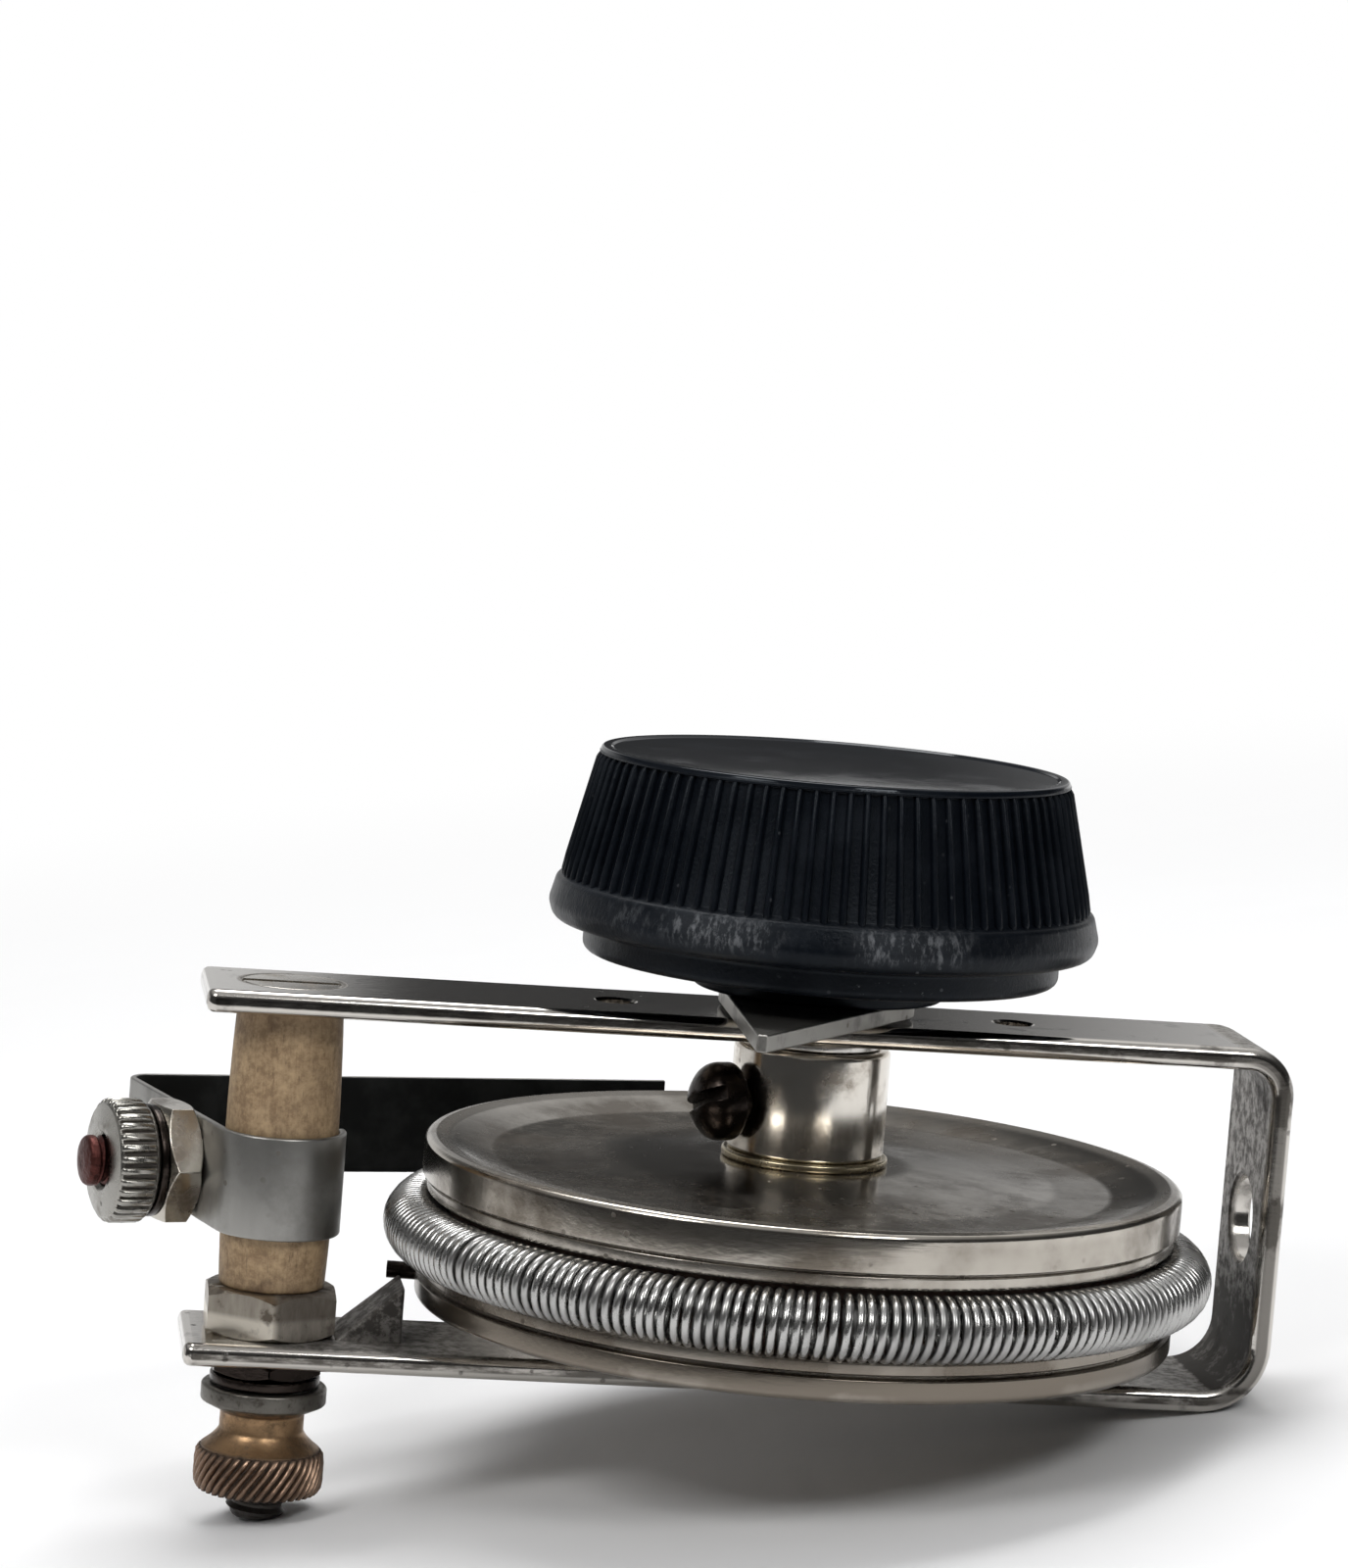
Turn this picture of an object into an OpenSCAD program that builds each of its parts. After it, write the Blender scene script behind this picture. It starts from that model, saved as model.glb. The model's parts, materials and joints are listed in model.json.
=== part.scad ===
// Panel rheostat: a wire-wound drum turns between the arms of a U bracket
// and a fixed leaf spring bears on the winding from behind.
// Millimetres. The origin is on the shaft axis at the panel face of the upper arm.
// +Z runs up the shaft to the knob, -X to the insulating post, +Y to the leaf spring.

/* [Bracket] */
// Width of the bracket strip
strip_w = 11.5; // [10.5:0.5:14]
// Thickness of the bracket strip
strip_t = 1.6; // [1.4:0.1:2]
// Outer height over both arms
frame_h = 25.8; // [25:0.2:30]
// Post axis to the free ends of the arms
arm_end = 6; // [5:0.1:9]
// Gap between the winding and the web
web_clearance = 2.65; // [1.5:0.05:8]
// Outer radius of the upper bend
upper_bend_r = 3.4; // [2.4:0.1:4.4]
// Outer radius of the lower bend
lower_bend_r = 4.8; // [2.4:0.1:5.4]
// Corner radius at the free ends of the arms
arm_corner_r = 0.7; // [0.3:0.1:2]
// Distance between the two panel screw holes
panel_spacing = 28; // [20:1:40]
// Diameter of the panel screw holes
panel_hole_d = 2.7; // [2:0.1:4]
// Diameter of the hole in the web
web_hole_d = 6.2; // [3:0.1:8]

/* [Stop] */
// Width of the raised stop tongue on the lower arm
tongue_w = 5; // [3:0.5:7]
// Length of the tongue's ramp
tongue_l = 4.6; // [3:0.2:5]
// Height of the tongue above the lower arm
tongue_rise = 3.9; // [3.5:0.1:4.5]
// Wall of the tongue at its two sides
tongue_side_t = 1; // [0.6:0.1:1.2]
// Gap between the tongue's end and the drum
tongue_gap = 0.95; // [0.6:0.05:1.5]
// Gap between the tongue's foot and the hex nut
tongue_foot_gap = 0.035; // [0.03:0.005:0.5]
// Diameter of the stop pin
stop_pin_d = 1.2; // [0.8:0.1:1.4]
// How far the stop pin stands out of the drum
stop_pin_reach = 2; // [1.8:0.1:3.4]
// Gap left between the stop pin and the tongue at either end of the travel
stop_gap = 0.6; // [0.3:0.1:1]

/* [Shaft and hub] */
// Diameter of the shaft
shaft_d = 6.35; // [5:0.05:7]
// Diameter of the shaft's lower journal
journal_d = 4.76; // [3.5:0.1:4.9]
// How far the journal stands out below the lower arm
journal_reach = 0.5; // [0.2:0.1:1]
// Diameter of the hub
hub_d = 10.9; // [10:0.1:12]
// Diameter of the hub's spigot through the drum
spigot_d = 8; // [7.8:0.1:8.6]
// Diameter of the spigot's riveted edge below the drum
rivet_edge_d = 9.8; // [9:0.1:11]
// Height of the riveted edge
rivet_edge_h = 0.55; // [0.4:0.05:0.8]
// Diameter of the brass washer at the foot of the hub
hub_washer_d = 11.6; // [11:0.1:13]
// Thickness of the brass washer
hub_washer_t = 0.6; // [0.4:0.1:1]
// Outer diameter of the friction washer under the upper arm
friction_washer_d = 9.6; // [8.5:0.1:10]
// Thickness of the friction washer
friction_washer_t = 0.5; // [0.3:0.1:0.8]
// Outer diameter of the spacer under the drum
spacer_d = 9; // [8:0.1:11]
// Diameter of the hub screw
hub_screw_d = 2.9; // [2.4:0.1:3.2]
// Diameter of the hub screw's head
hub_screw_head_d = 5.4; // [4.4:0.1:5.6]
// Height of the hub screw's head
hub_screw_head_h = 2.9; // [1.8:0.1:3]
// Shank of the hub screw that shows between the hub and the head
hub_screw_shank = 0.6; // [0.3:0.1:1]
// Direction of the hub screw, seen from the knob
hub_screw_angle = 200; // [180:1:220]

/* [Drum] */
// Radius of the drum at its two shells
drum_r = 26.35; // [22:0.05:32]
// Height of the upper shell, crest to lip
upper_shell_h = 3.8; // [3.2:0.1:4.2]
// Height of the lower shell, crest to lip
lower_shell_h = 2.75; // [2.6:0.05:3.2]
// Gap between the drum and the lower arm
drum_clearance = 2.7; // [2.2:0.1:3.4]
// Sheet thickness of the shells
shell_t = 0.7; // [0.5:0.05:0.9]
// Wall thickness at the rolled rims
rim_wall_t = 1.25; // [1:0.05:1.4]
// Radius of the rounded crest
crest_r = 0.9; // [0.6:0.05:1]
// Depth of the ring-shaped dish in a shell
dish_depth = 0.85; // [0.5:0.05:1.1]
// Width of the dish's floor
dish_floor_w = 4; // [2:0.1:6]
// Width of the raised border outside the dish
dish_border_w = 4.85; // [4:0.05:6]
// Height of a shell's lip
lip_h = 0.85; // [0.6:0.05:1]
// How far the lip lies inside the rim
lip_step = 0.35; // [0.2:0.05:0.5]
// Width and depth of the groove above the lip
groove = 0.3; // [0.2:0.05:0.4]

/* [Winding] */
// How far the winding stands out of the drum
winding_stand = 2.5; // [2.2:0.05:2.8]
// Outer diameter of the coiled wire
coil_d = 4.5; // [4:0.05:4.8]
// Gap between the winding and the lips above and below it
channel_gap = 0.1; // [0.1:0.05:0.4]
// Diameter of the wire
wire_d = 0.62; // [0.5:0.02:0.64]
// Number of turns
coil_turns = 215; // [150:1:216]
// Angle left free between the two ends of the winding
winding_gap = 16; // [14:1:24]
// Diameter of the rivets that hold the wire's ends
end_rivet_d = 1.4; // [1:0.1:1.6]
// Diameter of those rivets' heads
end_rivet_head_d = 2.2; // [1.8:0.1:2.4]

/* [Knob] */
// Panel face to the top of the knob
knob_top = 17.45; // [16.5:0.05:20]
// Radius of the knob's top
knob_top_r = 16.45; // [15:0.05:17.5]
// Radius of the flared rim
knob_rim_r = 19.05; // [18.5:0.05:20]
// Panel face to the widest line of the rim
knob_rim_z = 6.4; // [6.2:0.1:7.5]
// Rounding of the rim
knob_rim_round = 1; // [0.8:0.1:1.4]
// Smooth band between the rim and the ribs
knob_band = 2; // [1.2:0.1:3]
// How far the ribs stand back from the band
rib_setback = 0.15; // [0.05:0.05:0.3]
// Radius of the skirt below the rim
knob_skirt_r = 16.5; // [15.8:0.1:17]
// Panel face to the bottom of the skirt
knob_skirt_z = 3.3; // [2.6:0.1:3.6]
// Number of finger ribs
rib_count = 90; // [60:1:100]
// Depth of the grooves between the ribs
rib_depth = 0.45; // [0.3:0.05:0.6]
// Smooth border above the ribs
knob_border = 0.5; // [0.3:0.05:0.8]
// Wall of the knob's skirt
knob_wall = 2.2; // [1.6:0.1:2.4]
// Radius of the boss inside the knob
boss_r = 9; // [8:0.1:10]
// Thickness of the knob's top
knob_top_t = 4.2; // [3:0.1:5]
// Diameter of the brass bush in the boss
bush_d = 12; // [11:0.1:13]
// Diameter of the bush's spigot in the pointer
bush_spigot_d = 8.8; // [8.2:0.1:9.4]
// Diameter of the knob's set screw
set_screw_d = 2.85; // [2:0.05:3]
// Length of the knob's set screw
set_screw_l = 4.6; // [4:0.1:5]

/* [Pointer] */
// Thickness of the pointer plate
pointer_t = 1.2; // [0.8:0.1:1.4]
// Gap between the pointer and the upper arm
pointer_gap = 0.25; // [0.2:0.05:0.5]
// Shaft axis to the pointer's tip
pointer_l = 22.7; // [20:0.1:26]
// Radius of the pointer's eye
pointer_eye_r = 6.8; // [6:0.1:7.5]
// Width of the blunt tip
pointer_tip_w = 0.7; // [0.4:0.1:1.2]
// Direction of the pointer, seen from the knob
pointer_angle = 251.5; // [0:0.5:360]

/* [Insulating post] */
// Diameter of the post at its ends
post_d = 7.5; // [7:0.1:8]
// How far the post swells at mid-height, on the radius
post_bulge = 0.12; // [0:0.02:0.2]
// Diameter of the long post screw
post_screw_d = 4.17; // [3.5:0.01:4.5]
// Diameter of its flush head
post_head_d = 6.9; // [6.4:0.1:7.1]
// Height of the hex nut on the lower arm
post_nut_h = 3.2; // [2.4:0.1:3.6]
// Width across flats of that nut
post_nut_w = 8.73; // [7.5:0.01:9]
// Thickness of the lock nut under the lower arm
lock_nut_h = 1.3; // [1:0.1:1.6]
// Width across flats of the lock nut
lock_nut_w = 7.3; // [6.5:0.1:8]

/* [Lower terminal] */
// Diameter of the loose clamp washer
lower_washer_d = 7.6; // [7:0.1:9]
// Thickness of the clamp washer
lower_washer_t = 0.7; // [0.4:0.1:1]
// Diameter of the thumb nut's smooth flange
lower_flange_d = 8.65; // [8:0.05:10]
// Thickness of the flange with the cone under it
lower_flange_t = 1.9; // [1.5:0.1:2.2]
// Diameter of the thumb nut's neck
lower_neck_d = 5.8; // [5.4:0.1:6.4]
// Length of the neck with its flare
lower_neck_l = 2.6; // [2:0.1:4]
// Diameter over the knurled rim
lower_knurl_d = 8.95; // [8.4:0.05:10]
// Height of the knurled rim
lower_knurl_h = 2.95; // [2.4:0.05:4]
// Number of slanted teeth
lower_knurl_count = 40; // [24:1:48]
// Length of screw that stands out below the thumb nut
lower_stud_reach = 1.9; // [1:0.1:3]

/* [Leaf spring] */
// Width of the spring strip
spring_w = 7.1; // [6:0.1:8]
// Thickness of the spring strip
spring_t = 0.5; // [0.4:0.05:0.6]
// Middle of the spring above the middle of the winding
spring_lift = 2.75; // [1.5:0.05:3]
// Running gap between the spring and the winding
contact_gap = 0.3; // [0.2:0.05:0.4]
// Angle of the terminal ear away from +Y
ear_angle = 17; // [15:1:19]
// Angle of the long rear run away from +X
run_angle = 14; // [12:1:16]
// Radius of the bend between the ear and the rear run
ear_bend_r = 1.6; // [1.2:0.1:2.4]
// Post to the terminal screw, along the ear
ear_hole_l = 6.8; // [6.8:0.1:9]
// Length of the spring past the point of contact
spring_tip_l = 1.2; // [0.8:0.1:3]

/* [Upper terminal] */
// Diameter of the terminal screw
terminal_screw_d = 3.5; // [3:0.05:4]
// Diameter of its head
terminal_head_d = 5.8; // [5.4:0.1:6]
// Height of its head
terminal_head_h = 1.6; // [1.2:0.1:1.7]
// Width across flats of the terminal's hex nut
terminal_nut_w = 7.9; // [7:0.1:8.5]
// Height of the hex nut
terminal_nut_h = 2.4; // [2:0.1:3]
// Diameter of the loose washer
terminal_washer_d = 7.8; // [7:0.1:9]
// Thickness of the loose washer
terminal_washer_t = 0.5; // [0.4:0.1:1]
// Diameter over the knurled thumb nut
thumb_nut_d = 8.6; // [7.8:0.1:10]
// Height of the thumb nut
thumb_nut_h = 3.2; // [2.4:0.1:4.5]
// Number of straight teeth
thumb_nut_count = 32; // [20:1:40]
// Length of screw that stands out of the thumb nut
terminal_stud_reach = 1.3; // [0.8:0.1:2.5]

/* [Fits] */
// Gap between pieces fixed to each other
fit_gap = 0.02; // [0.01:0.01:0.04]
// Gap on the radius of a turning fit
run_gap = 0.05; // [0.03:0.01:0.08]
// Gap between faces that slide on each other
face_gap = 0.05; // [0.03:0.01:0.1]
// Gap between the winding and its seat
seat_gap = 0.15; // [0.1:0.01:0.2]

/* [Hidden] */
$fn = 96;

// Cutting tools run this far past a face
over = 1;
// Joined shapes run this far into each other
sink = 0.5;

// Radius of the finished winding, and the lengths of the frame round it
winding_r = drum_r + winding_stand;
post_x = drum_r + tongue_gap + tongue_l + tongue_foot_gap + post_nut_w / 2;
arm_l = post_x + arm_end;
web_x = winding_r + web_clearance + strip_t;

// Levels of the bracket
upper_arm_under = -strip_t;
lower_arm_top = strip_t - frame_h;
lower_arm_under = -frame_h;
web_mid_z = -frame_h / 2;

// Levels of the drum, from the lower arm upwards
channel_h = coil_d + 2 * channel_gap;
drum_bottom = lower_arm_top + drum_clearance;
lower_lip_z = drum_bottom + lower_shell_h;
winding_z = lower_lip_z + channel_h / 2;
upper_lip_z = lower_lip_z + channel_h;
drum_top = upper_lip_z + upper_shell_h;

// The flat round the hub lies this far below a shell's crest
hub_flat_drop = 0.1;
hub_flat_margin = 1.5;
hub_flat_r = hub_washer_d / 2 + hub_flat_margin;
lip_r = drum_r - lip_step;
lip_round = 0.2;
dish_out_r = drum_r - dish_border_w;
dish_in_r = dish_out_r - dish_floor_w;
shell_bore_r = spigot_d / 2 + fit_gap;
dish_under = dish_depth + shell_t;
// The crest's inner slope starts this far below it
crest_slope = 0.12;
// Inside corner between a shell's face and its rim
corner_w = 0.5;
corner_h = 0.4;

// The stop pin runs through the lower rim, and stands beside the tongue at rest
stop_pin_rise = 0.15;
stop_pin_root = 0.4;
stop_pin_z = lower_lip_z - lip_h - groove - stop_pin_d / 2 + stop_pin_rise;
stop_half_w = tongue_w / 2 + stop_pin_d / 2 + stop_gap;
stop_pin_angle = 180 - asin(stop_half_w / (drum_r + tongue_gap));

// Levels of the hub
hub_foot_z = drum_top - hub_flat_drop + hub_washer_t;
hub_top_z = upper_arm_under - friction_washer_t - 2 * face_gap;
rivet_top_z = drum_bottom + hub_flat_drop;
rivet_bottom_z = rivet_top_z - rivet_edge_h;
hub_screw_z = (hub_top_z + drum_top) / 2;
hub_chamfer = 0.4;
rivet_edge_slope = 0.3;
hub_slot_turn = 25;

// Sizes of the winding
coil_centre_r = winding_r - coil_d / 2;
coil_path_r = (coil_d - wire_d) / 2;
ring_r = winding_r - coil_d - seat_gap;
ring_inset = 0.3;
ring_in_r = dish_in_r + ring_inset;
contact_angle = 90 + run_angle;
steps_per_turn = 8;
wire_sides = 3;
winding_start = contact_angle + winding_gap / 2;
winding_sweep = 360 - winding_gap;
end_rivet_offset = winding_gap / 4;
end_rivet_head_h = 0.5;
end_rivet_depth = 1.6;

// Levels of the knob, its bush and the pointer
pointer_bottom = pointer_gap;
pointer_top = pointer_bottom + pointer_t;
pointer_eye_steps = 40;
rib_foot_z = knob_rim_z + knob_band;
knob_taper = (knob_rim_r - knob_top_r) / (knob_top - knob_rim_z);
band_top_r = knob_rim_r - knob_taper * knob_band;
band_round = rib_setback / 2;
rib_top_z = knob_top - knob_border;
rib_start_z = rib_foot_z - sink;
rib_start_r = band_top_r - rib_setback + knob_taper * sink;
border_step = 0.05;
border_slope = 0.6;
rim_under_z = knob_rim_z - knob_rim_round;
skirt_round = 0.6;
boss_foot_z = pointer_top + face_gap;
boss_step = 0.3;
bush_top = knob_top - knob_top_t;
shaft_end_gap = 0.4;
shaft_top = bush_top - shaft_end_gap;
set_screw_z = knob_rim_z;
set_screw_start = shaft_d / 2 + fit_gap;

// Levels of the post and the lower terminal
post_r = post_d / 2;
post_foot_z = lower_arm_top + post_nut_h;
post_h = upper_arm_under - post_foot_z;
lock_nut_z = lower_arm_under - lock_nut_h;
lower_washer_z = lock_nut_z - face_gap - lower_washer_t;
lower_nut_top = lower_washer_z - face_gap;
lower_nut_h = lower_flange_t + lower_neck_l + lower_knurl_h;
post_screw_end = lower_nut_top - lower_nut_h - lower_stud_reach;
screw_slot_w = 0.9;
screw_slot_depth = 0.6;
set_screw_slot_w = 0.6;
stud_round = 0.8;
post_steps = 12;

// The corners of a hex nut are turned off from a circle just inside its flats, at this slope
nut_face_margin = 0.1;
nut_slope = 0.6;

// Section of the lower thumb nut, and the slant of its knurl
lower_knurl_slant = 28;
lower_knurl_slices = 3;
lower_knurl_shoulder = 0.4;
lower_knurl_collar = 0.1;
lower_knurl_chamfer = 0.4;
lower_flare_share = 0.5;
lower_flare_power = 1.5;
lower_flare_steps = 6;
lower_cone_h = 0.7;
lower_flange_round = 0.2;

// A turned blank stands this far clear of the teeth or corners cut on it
blank_margin = 0.1;

// Depth and proportions of knurling: share of a tooth that is crest, flank and root
knurl_depth = 0.3;
crest_share = 0.45;
flank_share = 0.15;
root_share = 0.25;

// The round part of a screw's head, as a share of its height
dome_share = 0.55;

// Route of the leaf spring in plan: round the post, along the ear, round the bend, along the rear run
spring_z = winding_z + spring_lift;
wrap_r = post_r + post_bulge + run_gap + spring_t / 2;
ear_heading = 90 + ear_angle;
ear_dir = [cos(ear_heading), sin(ear_heading)];
ear_out = [-cos(ear_angle), -sin(ear_angle)];
ear_start = [-post_x, 0] + wrap_r * ear_out;
run_dir = [cos(run_angle), sin(run_angle)];
run_normal = [-sin(run_angle), cos(run_angle)];
run_distance = winding_r + contact_gap + spring_t / 2;
ear_l = (run_distance - ear_start * run_normal) / (ear_dir * run_normal);
ear_corner = ear_start + ear_l * ear_dir;
bend_turn = ear_heading - run_angle;
bend_start = ear_corner - ear_bend_r * tan(bend_turn / 2) * ear_dir;
bend_centre = bend_start - ear_bend_r * ear_out;
spring_end = run_distance * run_normal + spring_tip_l * run_dir;
wrap_from = 10;
wrap_steps = 30;
bend_steps = 16;
ear_hole = ear_start + ear_hole_l * ear_dir;

// Stack on the terminal screw, outwards from the middle of the ear
terminal_nut_from = spring_t / 2;
terminal_washer_from = terminal_nut_from + terminal_nut_h + face_gap;
thumb_nut_from = terminal_washer_from + terminal_washer_t + face_gap;
terminal_screw_to = thumb_nut_from + thumb_nut_h + terminal_stud_reach;
terminal_head_chamfer = 0.5;
terminal_stud_chamfer = 0.4;

// Section of the upper thumb nut: a chamfered foot and a domed face
thumb_foot_chamfer = 0.45;
thumb_shoulder_w = 0.8;
thumb_shoulder_h = 0.65;
thumb_dome_w = 1.3;
thumb_dome_h = 0.25;

// A point of the spring's route and the direction that it runs in there
function route_arc(centre, radius, from, to, turns) =
    [for (i = [0:turns]) let (a = from + (to - from) * i / turns)
        [centre + radius * [cos(a), sin(a)], a - 90]];

spring_route = concat(
    route_arc([-post_x, 0], wrap_r, wrap_from, ear_angle - 180, wrap_steps),
    route_arc(bend_centre, ear_bend_r, ear_heading + 90, run_angle + 90, bend_steps),
    [[spring_end, run_angle]]
);

// The spring's outline: its route moved half a thickness to each side
function beside(stop, side) = stop[0] + side * spring_t / 2 * [-sin(stop[1]), cos(stop[1])];
spring_outline = concat(
    [for (stop = spring_route) beside(stop, 1)],
    [for (i = [len(spring_route) - 1:-1:0]) beside(spring_route[i], -1)]
);

// Section of a drum shell: radius, and depth below its crest
function shell_section(h) = concat(
    [[shell_bore_r, hub_flat_drop], [hub_flat_r, hub_flat_drop],
     [dish_in_r, dish_depth], [dish_out_r, dish_depth],
     [drum_r - 2 * crest_r, crest_slope]],
    [for (a = [90:-15:0]) [drum_r - crest_r * (1 - cos(a)), crest_r * (1 - sin(a))]],
    [[drum_r, h - lip_h - groove], [lip_r - groove, h - lip_h - groove / 2], [lip_r, h - lip_h],
     [lip_r, h - lip_round], [lip_r - lip_round, h], [drum_r - rim_wall_t, h],
     [drum_r - rim_wall_t, shell_t + corner_h], [drum_r - rim_wall_t - corner_w, shell_t + crest_slope],
     [dish_out_r, dish_under], [dish_in_r, dish_under],
     [hub_flat_r, hub_flat_drop + shell_t], [shell_bore_r, hub_flat_drop + shell_t]]
);

// Path of the wire: a helix bent round the drum, with a short tail to the rivet at each end
function on_winding(turn_angle, azimuth) =
    let (r = coil_centre_r + coil_path_r * cos(turn_angle))
        [r * cos(azimuth), r * sin(azimuth), winding_z + coil_path_r * sin(turn_angle)];
function rivet_azimuth(side) = contact_angle + side * end_rivet_offset;
function wire_tail(side) =
    let (a = rivet_azimuth(side), r = ring_r + end_rivet_head_h + wire_d / 2 + seat_gap)
        [r * cos(a), r * sin(a), winding_z];
helix_steps = coil_turns * steps_per_turn;
wire_path = concat(
    [wire_tail(1)],
    [for (i = [0:helix_steps])
        on_winding(180 + 360 * i / steps_per_turn, winding_start + winding_sweep * i / helix_steps)],
    [wire_tail(-1)]
);

// The wire's section at one point of its path
function unit(v) = v / norm(v);
function from_core(p) =
    let (flat = unit([p[0], p[1], 0])) unit(p - coil_centre_r * flat - [0, 0, winding_z]);
function wire_ring(i) =
    let (last = len(wire_path) - 1,
         p = wire_path[i],
         t = unit(wire_path[min(i + 1, last)] - wire_path[max(i - 1, 0)]),
         n = from_core(p),
         side = unit(cross(t, n)),
         out = cross(side, t))
        [for (k = [0:wire_sides - 1]) let (a = 360 * k / wire_sides)
            p + wire_d / 2 * (cos(a) * out + sin(a) * side)];

// A toothed outline: each tooth has a flat crest and a flat root
function toothed(count, crest, root) =
    let (root_from = crest_share + flank_share,
         corners = [[0, crest], [crest_share, crest], [root_from, root], [root_from + root_share, root]])
        [for (i = [0:count - 1], corner = corners)
            let (a = (i + corner[0]) * 360 / count) corner[1] * [cos(a), sin(a)]];

// The strip bent to a U, seen from the front
module u_outline(inset) {
    upper_r = upper_bend_r - inset;
    lower_r = lower_bend_r - inset;
    right = web_x - inset;
    height = frame_h - 2 * inset;
    translate([-arm_l - inset, inset - frame_h]) {
        reach = arm_l + inset + right;
        square([reach - max(upper_r, lower_r), height]);
        translate([0, lower_r])
            square([reach, height - lower_r - upper_r]);
        translate([0, height - upper_r - over])
            square([reach - upper_r, upper_r + over]);
        square([reach - lower_r, lower_r + over]);
        translate([reach - upper_r, height - upper_r])
            circle(upper_r);
        translate([reach - lower_r, lower_r])
            circle(lower_r);
    }
}

// The strip seen from above, with its corners rounded at the free ends
module strip_plan() {
    translate([arm_corner_r - arm_l, -strip_w / 2])
        square([arm_l + web_x + over, strip_w]);
    translate([-arm_l, arm_corner_r - strip_w / 2])
        square([2 * arm_corner_r, strip_w - 2 * arm_corner_r]);
    for (side = [-1, 1])
        translate([arm_corner_r - arm_l, side * (strip_w / 2 - arm_corner_r)])
            circle(arm_corner_r);
}

// The ramp of the stop tongue, from its foot up to its end beside the drum
module tongue_ramp(width, drop, foot) {
    tip_x = -drum_r - tongue_gap;
    rotate([90, 0, 0])
        linear_extrude(width, center = true)
            polygon([[tip_x - tongue_l, lower_arm_top - drop], [tip_x, lower_arm_top + tongue_rise - drop],
                     [tip_x, foot], [tip_x - tongue_l, foot]]);
}

module bracket() {
    color([0.78, 0.77, 0.74])
        difference() {
            union() {
                intersection() {
                    rotate([90, 0, 0])
                        linear_extrude(strip_w, center = true)
                            difference() {
                                u_outline(0);
                                u_outline(strip_t);
                            }
                    translate([0, 0, -frame_h - over])
                        linear_extrude(frame_h + 2 * over)
                            strip_plan();
                }
                tongue_ramp(tongue_w, 0, lower_arm_top - strip_t / 2);
            }
            tongue_ramp(tongue_w - 2 * tongue_side_t, strip_t, lower_arm_under - over);
            translate([0, 0, -strip_t - over])
                cylinder(h = strip_t + 2 * over, r = shaft_d / 2 + run_gap);
            translate([0, 0, lower_arm_under - over])
                cylinder(h = strip_t + 2 * over, r = journal_d / 2 + run_gap);
            for (side = [-1, 1])
                translate([side * panel_spacing / 2, 0, -strip_t - over])
                    cylinder(h = strip_t + 2 * over, d = panel_hole_d);
            translate([web_x - strip_t - over, 0, web_mid_z])
                rotate([0, 90, 0])
                    cylinder(h = strip_t + 2 * over, d = web_hole_d);
            translate([-post_x, 0, lower_arm_under - over])
                cylinder(h = frame_h + 2 * over, r = post_screw_d / 2 + fit_gap);
            translate([-post_x, 0, 0])
                countersink(post_head_d / 2 + fit_gap, post_screw_d / 2 + fit_gap, over);
        }
}

// A 90 degree countersink under a face, with a straight mouth above it
module countersink(mouth_r, hole_r, mouth_h) {
    translate([0, 0, hole_r - mouth_r])
        cylinder(h = mouth_r - hole_r, r1 = hole_r, r2 = mouth_r);
    cylinder(h = mouth_h, r = mouth_r);
}

module shaft() {
    color([0.72, 0.72, 0.7])
        union() {
            translate([0, 0, lower_arm_top + face_gap])
                cylinder(h = shaft_top - lower_arm_top - face_gap, d = shaft_d);
            translate([0, 0, lower_arm_under - journal_reach])
                cylinder(h = frame_h + lower_arm_top + journal_reach + 2 * face_gap, d = journal_d);
        }
}

// A flat washer with its lower face at z = 0
module flat_washer(d, bore_r, t) {
    difference() {
        cylinder(h = t, d = d);
        translate([0, 0, -over])
            cylinder(h = t + 2 * over, r = bore_r);
    }
}

module friction_washer() {
    color([0.62, 0.6, 0.55])
        translate([0, 0, hub_top_z + face_gap])
            flat_washer(friction_washer_d, shaft_d / 2 + run_gap, friction_washer_t);
}

module thrust_spacer() {
    color([0.7, 0.58, 0.32])
        translate([0, 0, lower_arm_top + face_gap])
            flat_washer(spacer_d, shaft_d / 2 + fit_gap, rivet_bottom_z - lower_arm_top - face_gap);
}

// Turns a shape that points along +Z to point away from the shaft at an angle
module outwards(angle) {
    rotate([0, 0, angle])
        rotate([0, 90, 0])
            children();
}

module hub() {
    color([0.8, 0.79, 0.75])
        difference() {
            rotate_extrude()
                polygon([[shaft_d / 2 + fit_gap, hub_top_z], [hub_d / 2 - hub_chamfer, hub_top_z],
                         [hub_d / 2, hub_top_z - hub_chamfer], [hub_d / 2, hub_foot_z],
                         [spigot_d / 2, hub_foot_z], [spigot_d / 2, rivet_top_z],
                         [rivet_edge_d / 2, rivet_top_z],
                         [rivet_edge_d / 2 - rivet_edge_slope, rivet_bottom_z],
                         [shaft_d / 2 + fit_gap, rivet_bottom_z]]);
            translate([0, 0, hub_screw_z])
                outwards(hub_screw_angle)
                    cylinder(h = hub_d, r = hub_screw_d / 2 + fit_gap);
        }
}

module hub_washer() {
    color([0.77, 0.6, 0.3])
        translate([0, 0, drum_top - hub_flat_drop])
            flat_washer(hub_washer_d, shell_bore_r, hub_washer_t);
}

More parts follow.
